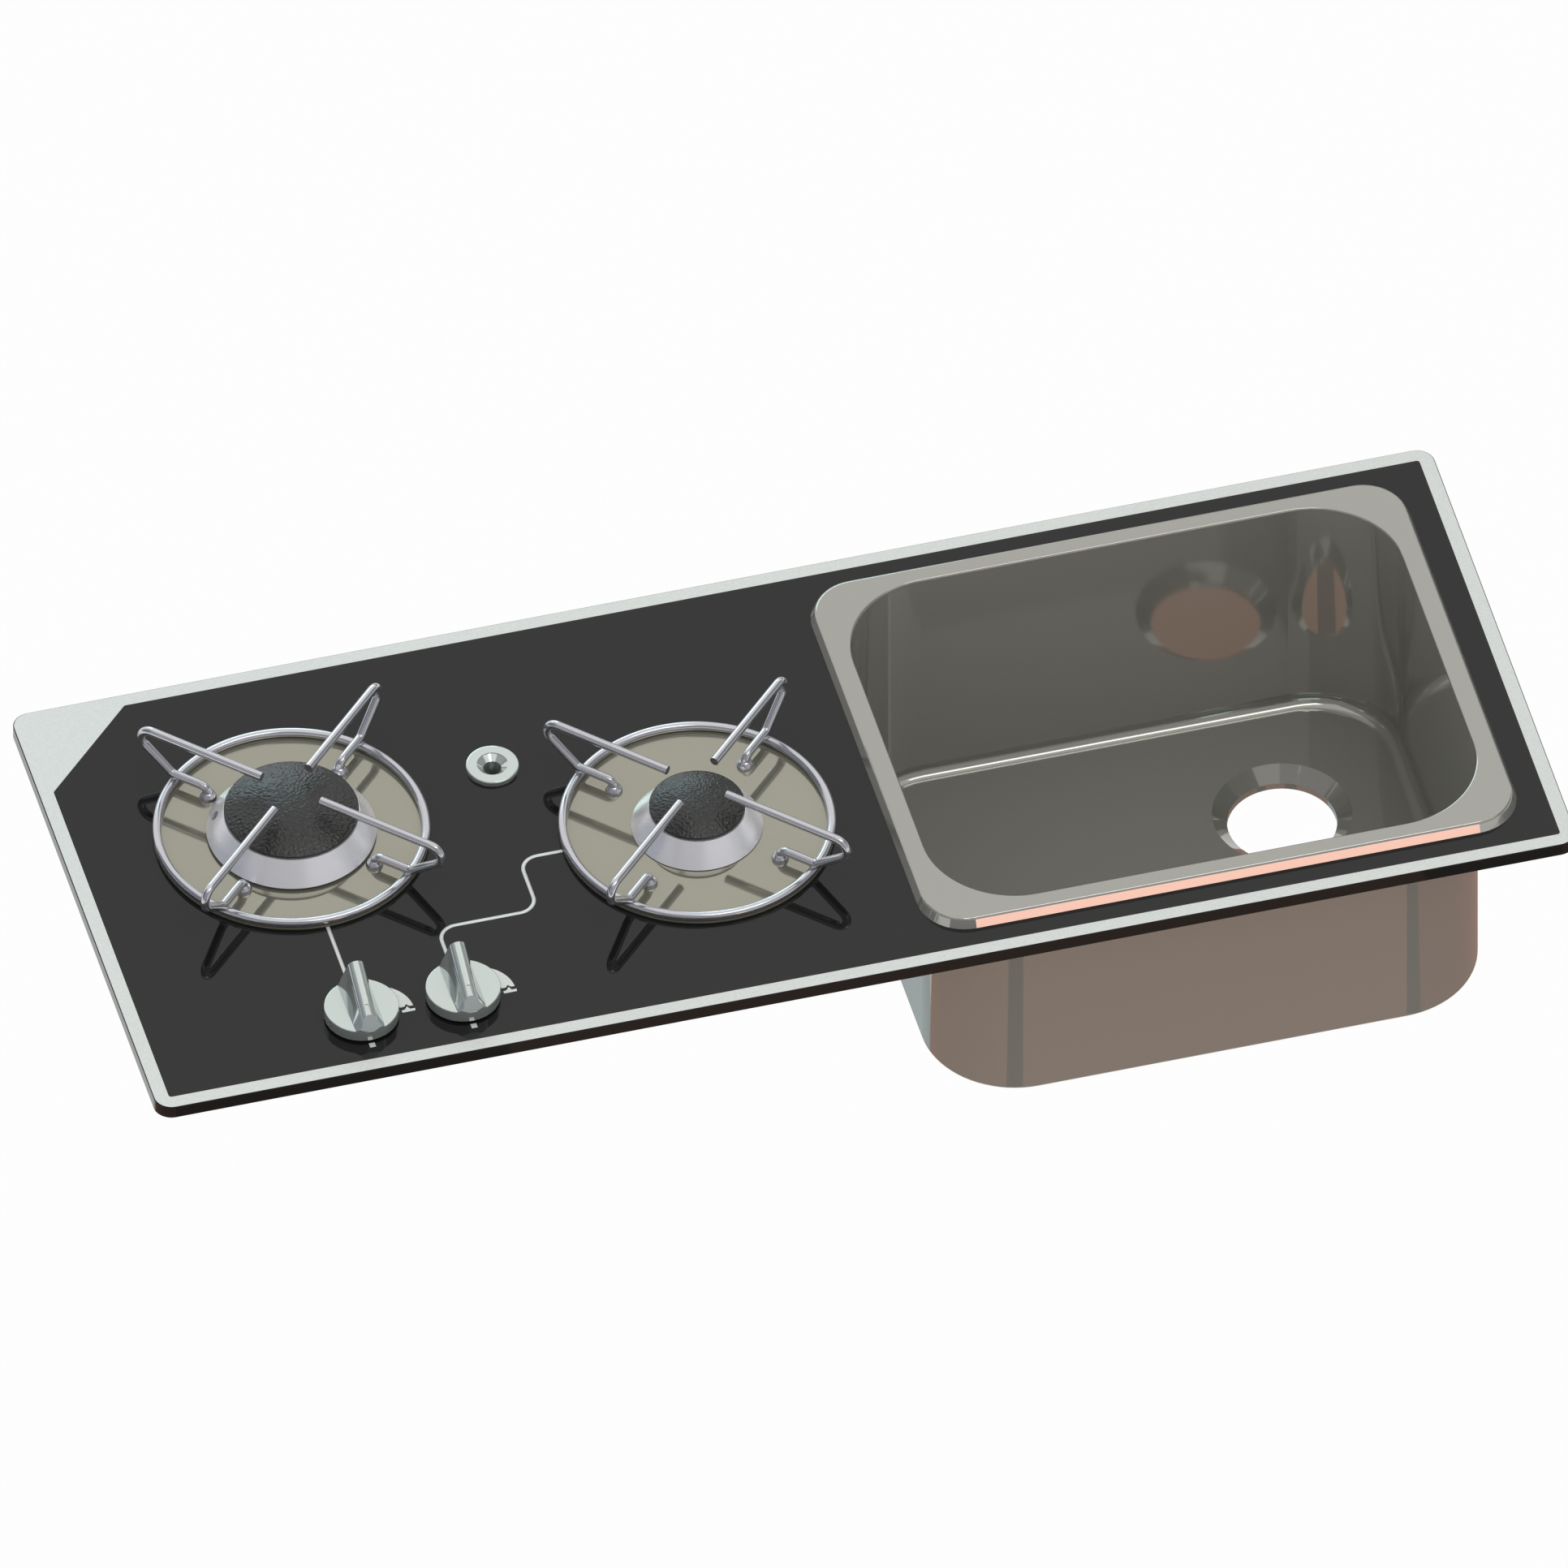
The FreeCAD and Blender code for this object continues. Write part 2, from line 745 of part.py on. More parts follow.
def make_burner_cup(burner):
    radius = cup_radius(burner)
    seat = seat_level(burner)
    neck_top = seat + cup_neck_height
    cup = turned(burner.x, burner.y, [
        (mixing_tube_bore, mixing_tube_bottom), (mixing_tube_radius, mixing_tube_bottom),
        (mixing_tube_radius, cup_bottom), (radius, cup_bottom), (radius, tray_top),
        (radius + cup_flange_width, tray_top), (radius + cup_flange_width, seat),
        (radius, seat), (radius, neck_top), (radius - cup_wall, neck_top),
        (radius - cup_wall, cup_bottom + cup_floor), (mixing_tube_bore, cup_bottom + cup_floor)])
    window_low = mixing_tube_bottom + air_window_gap
    window = Part.makeBox(mixing_tube_radius + overrun, air_window_width, air_window_height,
                          Vector(0, -air_window_width / 2, window_low))
    windows = [turned_about(window, burner.x, burner.y, 360 * number / air_window_count)
               for number in range(air_window_count)]
    return without(cup, windows)


def make_flame_spreader(burner):
    bore = cup_radius(burner) + loose_clearance
    tube = bore + cup_wall
    top_radius = burner.cap_radius + spreader_lip
    seat = seat_level(burner)
    edge = skirt_bottom(burner)
    deck = skirt_top(burner)
    crown = crown_top(burner)
    deck_bottom = deck - spreader_deck
    spreader = turned(burner.x, burner.y, [
        (burner.skirt_radius, edge), (top_radius, deck),
        (burner.cap_radius - crown_inset, deck), (burner.cap_radius - crown_inset, crown),
        (bore, crown), (bore, seat), (tube, seat), (tube, deck_bottom),
        (top_radius - skirt_wall, deck_bottom), (burner.skirt_radius - skirt_wall, edge)])
    groove_end = burner.cap_radius - groove_inset
    groove = Part.makeBox(groove_end, groove_width, groove_depth + overrun,
                          Vector(0, -groove_width / 2, crown - groove_depth))
    cutters = [turned_about(groove, burner.x, burner.y, 360 * number / groove_count)
               for number in range(groove_count)]
    cutters.append(probe_hole(burner, top_radius))
    return without(spreader, cutters)


def probe_hole(burner, top_radius):
    """The hole square through the skirt's cone above the probe."""
    fall = burner.skirt_radius - top_radius
    angle = math.radians(burner.probe_angle)
    outward = Vector(math.cos(angle), math.sin(angle), 0)
    normal = (outward * skirt_height + up * fall).normalize()
    reach = burner.skirt_radius - fall * probe_hole_share
    level = skirt_bottom(burner) + skirt_height * probe_hole_share
    surface = Vector(burner.x, burner.y, level) + outward * reach
    inner = surface - normal * (skirt_wall + overrun)
    return bar_between(inner, surface + normal * overrun, probe_hole_radius)


def make_burner_cap(burner):
    lip_radius = cup_radius(burner) + loose_clearance - cap_lip_clearance
    seat = crown_top(burner)
    lip_bottom = seat - cap_lip_depth
    rim = Vector(burner.cap_radius, 0, seat + cap_edge)
    apex = Vector(0, 0, rim.z + burner.dome)
    dome_radius = (burner.cap_radius ** 2 + burner.dome ** 2) / (2 * burner.dome)
    half_angle = math.asin(burner.cap_radius / dome_radius) / 2
    middle = Vector(dome_radius * math.sin(half_angle), 0,
                    apex.z - dome_radius * (1 - math.cos(half_angle)))
    corners = [apex]
    lip_bore = lip_radius - cap_lip_wall
    outline = [(0, seat), (lip_bore, seat), (lip_bore, lip_bottom), (lip_radius, lip_bottom),
               (lip_radius, seat), (burner.cap_radius, seat)]
    corners += [Vector(radius, 0, level) for radius, level in outline]
    edges = [Part.LineSegment(first, last).toShape() for first, last in zip(corners, corners[1:] + [rim])]
    edges.append(Part.Arc(rim, middle, apex).toShape())
    return turn_face(burner.x, burner.y, Part.Face(Part.Wire(edges)))


def make_injector_holder(burner):
    block = square_block(burner.x, burner.y, holder_size, holder_size, box_floor, mixing_tube_bottom)
    spigot = round_bar(burner.x, burner.y, mixing_tube_bottom, spigot_top, mixing_tube_bore - fit_clearance)
    stud = round_bar(burner.x, burner.y, box_floor - holder_stud_length, box_floor, holder_stud_radius)
    bore = round_bar(burner.x, burner.y, spigot_top - injector_shank_length, spigot_top + overrun,
                     injector_shank_radius + thread_clearance)
    return without(joined([block, spigot, stud]), [bore])


def make_injector_holder_nut(burner):
    top = box_floor - box_sheet
    nut = hexagon(burner.x, burner.y, top - holder_nut_height, top, holder_nut_flats)
    return without(nut, [round_bar(burner.x, burner.y, top - holder_nut_height - overrun, top + overrun,
                                   holder_stud_radius + thread_clearance)])


def make_injector(burner):
    bottom = spigot_top - injector_shank_length
    hex_top = spigot_top + injector_hex_height
    shank = round_bar(burner.x, burner.y, bottom, spigot_top, injector_shank_radius)
    head = hexagon(burner.x, burner.y, spigot_top, hex_top, injector_hex_flats)
    nose = Part.makeCone(injector_shank_radius, injector_nose_radius, injector_nose_length,
                         Vector(burner.x, burner.y, hex_top), up)
    jet = round_bar(burner.x, burner.y, bottom - overrun, hex_top + injector_nose_length + overrun,
                    injector_bore_radius)
    return without(joined([shank, head, nose]), [jet])


def support_arm():
    """One bent arm in the XZ plane: leg, low run over the ring, rise, and the run that carries the pan."""
    low = arm_low_level
    corner = kink_radius + (arm_top_level - low) / math.tan(math.radians(rise_angle))
    points = [Vector(leg_radius, 0, tray_top + leg_end_gap), Vector(leg_radius, 0, low),
              Vector(kink_radius, 0, low), Vector(corner, 0, arm_top_level),
              Vector(arm_end_radius, 0, arm_top_level)]
    return bent_rod(points, [leg_bend_radius, kink_bend_radius, arm_bend_radius], wire_radius)


def at_each_arm(shape, burner):
    """A copy of a shape at each of a pan support's arms."""
    step = 360 / support_arm_count
    return [turned_about(shape, burner.x, burner.y, support_arm_angle + step * number)
            for number in range(support_arm_count)]


def make_pan_support(burner):
    ring = Part.makeTorus(support_ring_radius, wire_radius, Vector(burner.x, burner.y, ring_level), up)
    return joined([ring] + at_each_arm(support_arm(), burner))


def make_pan_support_feet(burner):
    foot = Part.makeSphere(foot_radius, Vector(leg_radius, 0, tray_top), up, 0, 90, 360)
    return Part.makeCompound(at_each_arm(without(foot, [support_arm()]), burner))


# Knobs and taps
def make_knob(burner):
    disc = round_bar(0, 0, knob_bottom, knob_disc_top, knob_radius)
    disc = disc.makeFillet(knob_disc_edge, edges_at(disc, knob_disc_top))
    fin = Part.makeLoft([fin_section(-knob_radius), fin_section(knob_radius)], True, True)
    fin = fin.common(round_bar(0, 0, knob_bottom, fin_crest(knob_radius), knob_radius))
    fin = without(fin, [fin_end_cut(fin_heel_y, fin_back_y), fin_end_cut(fin_toe_y, fin_front_y),
                        indicator_slot()])
    cutters = [
        round_bar(0, 0, knob_bottom - overrun, knob_recess_top, knob_recess_radius),
        spindle_shape(0, knob_bottom, knob_recess_top + spindle_grip),
    ]
    knob = without(joined([disc, fin]), cutters)
    return turned_about(knob, burner.tap_x, knob_y, 0)


def fin_slope():
    return (fin_back_height - fin_front_height) / (fin_back_y - fin_front_y)


def fin_crest(y):
    """Level of the fin's crest at a distance back from the knob's axis."""
    return knob_bottom + fin_front_height + (y - fin_front_y) * fin_slope()


def fin_section(y):
    """One cross-section of the knob's fin: sloped flanks under a round crest."""
    base = fin_base_width / 2
    top = fin_top_width / 2
    crest = fin_crest(y)
    foot = knob_disc_top - knob_disc_edge
    left_foot = Vector(-base, y, foot)
    right_foot = Vector(base, y, foot)
    left_shoulder = Vector(-top, y, crest - top)
    right_shoulder = Vector(top, y, crest - top)
    edges = [
        Part.LineSegment(left_foot, left_shoulder).toShape(),
        Part.Arc(left_shoulder, Vector(0, y, crest), right_shoulder).toShape(),
        Part.LineSegment(right_shoulder, right_foot).toShape(),
        Part.LineSegment(right_foot, left_foot).toShape(),
    ]
    return Part.Wire(edges)


def fin_end_cut(foot_y, crest_y):
    """What is cut off beyond one of the fin's leaning end faces, given its foot and its top edge."""
    top = fin_crest(knob_radius) + overrun
    foot = knob_disc_top - knob_disc_edge - overrun
    far = math.copysign(knob_radius + overrun, foot_y)
    lean = (foot_y - crest_y) / (fin_crest(crest_y) - knob_disc_top)
    near = foot_y - lean * (top - knob_disc_top)
    outline = [(foot_y, foot), (foot_y, knob_disc_top), (near, top), (far, top), (far, foot)]
    points = [Vector(-knob_radius, y, level) for y, level in outline]
    return Part.Face(Part.makePolygon(points + points[:1])).extrude(Vector(2 * knob_radius, 0, 0))


def indicator_slot():
    """The pointer slot sunk into the fin's crest near its front."""
    y = slot_from_front - knob_radius
    slot = Part.makeBox(slot_width, slot_length, slot_depth + overrun,
                        Vector(-slot_width / 2, -slot_length / 2, -slot_depth))
    tilt = math.degrees(math.atan(fin_slope()))
    slot.Placement = Placement(Vector(0, y, fin_crest(y)), Rotation(right, tilt))
    return slot


def spindle_shape(clearance, low, high):
    """The spindle's round section with its flat, grown by a clearance, about the origin."""
    radius = spindle_radius + clearance
    flat = spindle_flat + clearance
    cut = Part.makeBox(2 * radius, radius, high - low, Vector(-radius, flat, low))
    return without(round_bar(0, 0, low, high, radius), [cut])


def spindle_foot():
    return tap_top - plug_top_gap - spindle_engagement


def make_tap_spindle(burner):
    spindle = spindle_shape(0, spindle_foot(), knob_recess_top + spindle_grip)
    return turned_about(spindle, burner.tap_x, knob_y, 0)


def plug_levels():
    """Bottom and top of the tap's plug."""
    return shelf_floor + plug_floor + plug_seat_gap, tap_top - plug_top_gap


def make_tap_plug(burner):
    bottom, top = plug_levels()
    plug = turned(0, 0, [(0, bottom), (plug_bottom_radius, bottom), (plug_top_radius, top), (0, top)])
    socket = spindle_shape(fit_clearance, spindle_foot() - spindle_foot_room, top + overrun)
    return turned_about(without(plug, [socket]), burner.tap_x, knob_y, 0)


def make_gas_tap(burner):
    x = burner.tap_x
    block = square_block(x, knob_y, tap_size, tap_size, shelf_floor, tap_top)
    bottom, top = plug_levels()
    taper = (plug_top_radius - plug_bottom_radius) / (top - bottom)
    low_radius = plug_bottom_radius + fit_clearance - taper * plug_seat_gap
    high_radius = plug_top_radius + fit_clearance + taper * (plug_top_gap + overrun)
    seat = turned(x, knob_y, [(0, bottom - plug_seat_gap), (low_radius, bottom - plug_seat_gap),
                              (high_radius, tap_top + overrun), (0, tap_top + overrun)])
    cutters = [seat]
    for screw_x, screw_y in tap_screw_places():
        cutters.append(round_bar(screw_x, screw_y, shelf_floor - overrun, shelf_floor + tap_screw_length,
                                 tap_screw_radius + thread_clearance))
    for screw_x, screw_y in gland_screw_places(burner):
        cutters.append(round_bar(screw_x, screw_y, tap_top - gland_screw_length, tap_top + overrun,
                                 gland_screw_radius + thread_clearance))
    return without(block, cutters)


def gland_screw_places(burner):
    """Plan places of a gland's two screws, clear of the tap's own screws."""
    reach = gland_screw_circle_radius
    return [(burner.tap_x + sign * reach, knob_y) for sign in (-1, 1)]


def make_tap_gland(burner):
    x = burner.tap_x
    flange_top = tap_top + gland_thickness
    bore = spindle_radius + fit_clearance
    gland = turned(x, knob_y, [(bore, tap_top), (gland_radius, tap_top), (gland_radius, flange_top),
                               (gland_neck_radius, flange_top), (gland_neck_radius, gland_top),
                               (bore, gland_top)])
    hole_radius = gland_screw_radius + thread_clearance
    return without(gland, [
        round_bar(screw_x, screw_y, tap_top - overrun, flange_top + overrun, hole_radius)
        for screw_x, screw_y in gland_screw_places(burner)])


def make_gland_screws():
    flange_top = tap_top + gland_thickness
    screws = []
    for burner in burners:
        for x, y in gland_screw_places(burner):
            screws.append(joined([
                round_bar(x, y, tap_top - gland_screw_length, flange_top, gland_screw_radius),
                round_bar(x, y, flange_top, flange_top + gland_screw_head_height, gland_screw_head_radius)]))
    return Part.makeCompound(screws)


def make_tap_screws():
    shelf_bottom = shelf_floor - box_sheet
    return Part.makeCompound([
        joined([round_bar(x, y, shelf_bottom, shelf_floor + tap_screw_length, tap_screw_radius),
                round_bar(x, y, shelf_bottom - tap_screw_head_height, shelf_bottom, tap_screw_head_radius)])
        for x, y in tap_screw_places()])


def make_knob_spring(burner):
    """A wire coil between the gland and the knob, as a chain of quarter-turn arcs."""
    low = gland_top + spring_wire_radius + loose_clearance
    high = knob_recess_top - spring_wire_radius - loose_clearance
    quarters = 4 * spring_turns

    def on_coil(quarter):
        angle = math.pi / 2 * quarter
        return Vector(spring_radius * math.cos(angle), spring_radius * math.sin(angle),
                      low + (high - low) * quarter / quarters)

    edges = [Part.Arc(on_coil(number), on_coil(number + 0.5), on_coil(number + 1)).toShape()
             for number in range(quarters)]
    heading = edges[0].tangentAt(edges[0].FirstParameter)
    section = Part.Wire(Part.makeCircle(spring_wire_radius, on_coil(0), heading))
    spring = Part.Wire(edges).makePipeShell([section], True, False)
    return turned_about(spring, burner.tap_x, knob_y, 0)


def make_knob_seal(burner):
    lip_bottom = glass_bottom - knob_seal_lip_thickness
    flange_top = glass_top + knob_seal_flange_thickness
    return turned(burner.tap_x, knob_y, [
        (knob_seal_bore_radius, lip_bottom), (knob_seal_lip_radius, lip_bottom),
        (knob_seal_lip_radius, glass_bottom), (knob_hole_radius, glass_bottom),
        (knob_hole_radius, glass_top), (knob_seal_flange_radius, glass_top),
        (knob_seal_flange_radius, flange_top), (knob_seal_bore_radius, flange_top)])


# Gas pipes and thermocouples
def make_gas_manifold():
    shoulder = box_back + grommet_lip
    inlet_end = shoulder + inlet_stub_length
    rail = bar_between(Vector(left_knob_x - manifold_end, manifold_y, port_level),
                       Vector(right_knob_x + manifold_end, manifold_y, port_level), manifold_radius)
    pieces = [rail]
    for burner in burners:
        pieces.append(bar_between(Vector(burner.tap_x, manifold_y, port_level),
                                  Vector(burner.tap_x, knob_y + tap_size / 2, port_level), tee_radius))
    pieces.append(bar_between(Vector(inlet_x, manifold_y, port_level),
                              Vector(inlet_x, shoulder, port_level), inlet_pipe_radius))
    pieces.append(bar_between(Vector(inlet_x, shoulder, port_level),
                              Vector(inlet_x, inlet_end, port_level), inlet_stub_radius))
    bore = bar_between(Vector(inlet_x, inlet_end - inlet_bore_depth, port_level),
                       Vector(inlet_x, inlet_end + overrun, port_level), inlet_bore_radius)
    return without(joined(pieces), [bore])


def make_inlet_grommet():
    bore = inlet_pipe_radius + fit_clearance
    ring = turned(0, 0, [
        (bore, -box_sheet - grommet_lip), (grommet_radius, -box_sheet - grommet_lip),
        (grommet_radius, -box_sheet), (grommet_groove_radius, -box_sheet),
        (grommet_groove_radius, 0), (grommet_radius, 0), (grommet_radius, grommet_lip), (bore, grommet_lip)])
    ring.Placement = Placement(Vector(inlet_x, box_back, port_level), Rotation(right, -90))
    return ring


def make_supply_pipe(burner):
    start = Vector(burner.tap_x + burner.outward * tap_size / 2, knob_y + supply_port_offset, port_level)
    side_x = start.x + burner.outward * supply_side_run
    level = box_floor + supply_level
    drop_y = start.y + supply_drop_start
    end = Vector(burner.x - holder_size / 2, burner.y, level)
    points = [start, Vector(side_x, start.y, port_level), Vector(side_x, drop_y, port_level),
              Vector(side_x, drop_y + supply_drop_run, level), Vector(side_x, end.y, level), end]
    pipe = bent_rod(points, [supply_bend_radius] * 4, supply_radius)
    tap_nut = bar_between(start, start + right * (burner.outward * pipe_nut_length), pipe_nut_radius)
    holder_nut = bar_between(end, end - right * pipe_nut_length, pipe_nut_radius)
    return joined([pipe, tap_nut, holder_nut])


def make_thermocouple(burner):
    x, y = probe_place(burner)
    start = Vector(burner.tap_x + burner.outward * tap_size / 2, knob_y - lead_port_offset, port_level)
    side_x = x + burner.outward * lead_side_run
    foot = Vector(x, y, port_level)
    tip = tray_top + probe_tip_height
    points = [start, Vector(side_x, start.y, port_level), Vector(side_x, y, port_level), foot,
              Vector(x, y, tip - probe_radius)]
    lead = bent_rod(points, [lead_bend_radius] * 3, lead_radius)
    nut = bar_between(start, start + right * (burner.outward * lead_nut_length), lead_nut_radius)
    probe = round_bar(x, y, glass_bottom, tip, probe_radius)
    return joined([lead, nut, probe])


# Centre bush
def make_centre_bush():
    flange_top = glass_top + bush_flange_height
    stem_bottom = glass_top - bush_stem_length
    bush = turned(bush_x, bush_y, [
        (bush_bore_radius, stem_bottom), (bush_stem_radius, stem_bottom), (bush_stem_radius, glass_top),
        (bush_flange_radius, glass_top), (bush_flange_radius, flange_top),
        (bush_recess_radius, flange_top), (bush_recess_radius, flange_top - bush_recess_land),
        (bush_bore_radius, flange_top - bush_recess_land - bush_cone_depth)])
    rim = [edge for edge in edges_at(bush, flange_top)
           if edge.Curve.Radius > bush_recess_radius + fit_clearance]
    return bush.makeFillet(bush_flange_edge, rim)


def make_centre_bush_washer():
    low = glass_bottom - bush_washer_thickness
    bore = bush_stem_radius + thread_clearance
    return turned(bush_x, bush_y, [(bore, low), (bush_washer_radius, low),
                                   (bush_washer_radius, glass_bottom), (bore, glass_bottom)])


def make_centre_bush_nut():
    top = glass_bottom - bush_washer_thickness
    nut = hexagon(bush_x, bush_y, top - bush_nut_height, top, bush_nut_flats)
    return without(nut, [round_bar(bush_x, bush_y, top - bush_nut_height - overrun, top + overrun,
                                   bush_stem_radius + thread_clearance)])


# Every piece by its name
def make_pieces():
    pieces = {
        "glass_top": make_glass_top(),
        "worktop_seal": make_worktop_seal(),
        "sink_bowl": make_sink_bowl(),
        "sink_rim_seal": make_sink_rim_seal(),
        "sink_clamps": make_sink_clamps(),
        "sink_clamp_screws": make_sink_clamp_screws(),
        "burner_box": make_burner_box(),
        "burner_box_seal": make_burner_box_seal(),
        "worktop_brackets": make_worktop_brackets(),
        "gas_manifold": make_gas_manifold(),
        "inlet_grommet": make_inlet_grommet(),
        "tap_screws": make_tap_screws(),
        "gland_screws": make_gland_screws(),
        "centre_bush": make_centre_bush(),
        "centre_bush_washer": make_centre_bush_washer(),
        "centre_bush_nut": make_centre_bush_nut(),
    }
    sided = {
        "spill_tray": make_spill_tray,
        "burner_cup": make_burner_cup,
        "flame_spreader": make_flame_spreader,
        "burner_cap": make_burner_cap,
        "injector_holder": make_injector_holder,
        "injector_holder_nut": make_injector_holder_nut,
        "injector": make_injector,
        "pan_support": make_pan_support,
        "pan_support_feet": make_pan_support_feet,
        "knob": make_knob,
        "tap_spindle": make_tap_spindle,
        "tap_plug": make_tap_plug,
        "gas_tap": make_gas_tap,
        "tap_gland": make_tap_gland,
        "knob_spring": make_knob_spring,
        "knob_seal": make_knob_seal,
        "supply_pipe": make_supply_pipe,
        "thermocouple": make_thermocouple,
    }
    for burner in burners:
        for name, make in sided.items():
            pieces[burner.side + "_" + name] = make(burner)
    return pieces


os.makedirs("parts", exist_ok=True)
for name, shape in make_pieces().items():
    shape.exportStep("parts/" + name + ".step")
    state = "valid" if shape.isValid() else "NOT VALID"
    print(name, len(shape.Solids), "solids", state, round(shape.Volume))
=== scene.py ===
# %% [markdown]
# # A hob and sink in one glass plate
# The object is a drop-in unit for a small kitchen: a black glass plate with a silver printed
# border, two gas burners with wire pan supports, two knobs, and a polished steel bowl. Its solids
# come ready made as a imported frame, so this lesson adds what solids do not hold: finishes, print,
# grain, weld beads, copies of the springs and a studio. Starting from the frame keeps every size
# true; nothing here moves or reshapes it.

# %% Load the imported parts
import math
import bmesh
import bpy
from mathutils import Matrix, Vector


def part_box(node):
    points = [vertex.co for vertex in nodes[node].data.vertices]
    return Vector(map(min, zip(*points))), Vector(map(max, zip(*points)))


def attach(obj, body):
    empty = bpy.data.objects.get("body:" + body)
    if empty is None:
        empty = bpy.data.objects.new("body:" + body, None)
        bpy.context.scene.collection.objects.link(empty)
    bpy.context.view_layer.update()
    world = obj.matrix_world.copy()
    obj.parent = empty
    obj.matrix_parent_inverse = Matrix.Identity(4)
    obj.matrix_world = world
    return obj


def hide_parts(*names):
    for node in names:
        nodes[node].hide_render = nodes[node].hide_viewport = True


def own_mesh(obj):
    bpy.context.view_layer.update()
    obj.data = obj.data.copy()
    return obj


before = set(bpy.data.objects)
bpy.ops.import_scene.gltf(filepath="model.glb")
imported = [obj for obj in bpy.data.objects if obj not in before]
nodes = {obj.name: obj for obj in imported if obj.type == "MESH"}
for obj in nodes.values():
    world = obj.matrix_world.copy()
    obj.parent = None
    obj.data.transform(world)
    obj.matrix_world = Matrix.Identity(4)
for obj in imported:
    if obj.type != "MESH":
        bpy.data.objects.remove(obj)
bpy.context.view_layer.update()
mm = 0.001

# %% [markdown]
# ## The camera
# The picture was taken with no perspective: edges that are parallel on the plate stay parallel in
# it. An orthographic camera does that, turned 15 degrees to the left and looking 45 degrees down. A
# long lens from far away would come close, but the parallel camera gives it exactly, and its scale
# is the frame's real width.

# %% Stand the camera
def placed(name, data):
    """A new object that holds this data, put in the scene."""
    thing = bpy.data.objects.new(name, data)
    bpy.context.scene.collection.objects.link(thing)
    return thing


picture_width, camera_distance = 0.85275, 3.0
looking_at = Vector((-0.005826, -0.000492, 0.008017))
tilt, turn = math.radians(45), math.radians(-15)
camera = placed("photo_camera", bpy.data.cameras.new("photo_camera"))
camera.data.type = "ORTHO"
camera.data.ortho_scale = picture_width
camera.rotation_euler = (tilt, 0, turn)
towards_camera = camera.rotation_euler.to_matrix() @ Vector((0, 0, 1))
camera.location = looking_at + camera_distance * towards_camera
bpy.context.scene.camera = camera
print("camera looks along", [round(-x, 3) for x in towards_camera])

# %% [markdown]
# ## Colours and nodes
# Colours are written as they would be picked from a screen, in sRGB hex, but shaders work with
# linear light, so one function converts them. One more function adds a node with its settings and
# links; it serves shader trees and geometry trees alike. Most sockets go by name; a colour mix has
# several of one name, so its sockets go by number. Patterns are sized in millimetres: a noise of
# scale 1 repeats about every metre, so the scale for a grain of so many millimetres is a thousand
# divided by it.

# %% Helpers for colours, nodes and pattern sizes
def paint(hex_colour):
    """An sRGB hex colour as linear red, green, blue and alpha."""
    channels = [int(hex_colour[i:i + 2], 16) / 255 for i in (1, 3, 5)]
    return [c / 12.92 if c <= 0.04045 else ((c + 0.055) / 1.055) ** 2.4 for c in channels] + [1.0]


def add(tree, kind, sockets=None, **settings):
    """Add a node; each socket, by name or number, takes a value or another node's output."""
    made = tree.nodes.new(kind)
    for name, value in settings.items():
        setattr(made, name, value)
    for key, value in (sockets or {}).items():
        if isinstance(value, bpy.types.NodeSocket):
            tree.links.new(value, made.inputs[key])
        else:
            made.inputs[key].default_value = value
    return made


def grain_scale(size_mm):
    """The texture scale at which a pattern repeats about every size_mm."""
    return 1 / (size_mm * mm)


def start_material(name):
    """A new material with an empty node tree."""
    material = bpy.data.materials.new(name)
    material.use_nodes = True
    material.node_tree.nodes.clear()
    return material, material.node_tree


finishes = {}
first_colour, second_colour, mixed_colour = 6, 7, 2
print("mid grey is", round(paint("#808080")[0], 3))

# %% [markdown]
# ## Glass
# The plate is toughened borosilicate glass, black through and through, with a fire-polished face.
# Black glass has almost no colour of its own: what shows is the room mirrored in it, about three
# percent seen from above and far more along an edge. So it is a near-black dielectric with a low
# roughness. A slow noise varies the roughness a little, the way wiped glass is never equally clean.

# %% Toughened black glass
smear_mm = 70
material, tree = start_material("toughened_black_glass")
place = add(tree, "ShaderNodeTexCoord")
smears = add(tree, "ShaderNodeTexNoise", {
    "Vector": place.outputs["Object"], "Scale": grain_scale(smear_mm), "Detail": 3.0})
roughness = add(tree, "ShaderNodeMapRange", {
    "Value": smears.outputs[0], "To Min": 0.012, "To Max": 0.035})
shader = add(tree, "ShaderNodeBsdfPrincipled", {
    "Base Color": paint("#181817"), "Roughness": roughness.outputs[0], "IOR": 1.40})
add(tree, "ShaderNodeOutputMaterial", {"Surface": shader.outputs[0]})
finishes["black_glass"] = material
print("made", material.name)

# %% [markdown]
# ## Steel sheet
# The bowl and the spill trays are stainless steel sheet, polished until it mirrors. Steel reflects
# less than silver or chrome, so its base colour is a middling warm grey. Pressed sheet is never a
# perfect mirror: its skin scatters part of the light, which keeps the deep corners of a bowl from
# going black. A metallic value below one gives that scattered part. The polish leaves fine lines: a
# stretched noise drives a faint bump and a little change of roughness. The real lines are thinner
# than a pixel, so they are drawn half a millimetre apart.

# %% Polished stainless steel for the bowl and the trays
line_gap, line_depth, line_stretch, lift = 0.5, 0.02, 0.02, 0.02


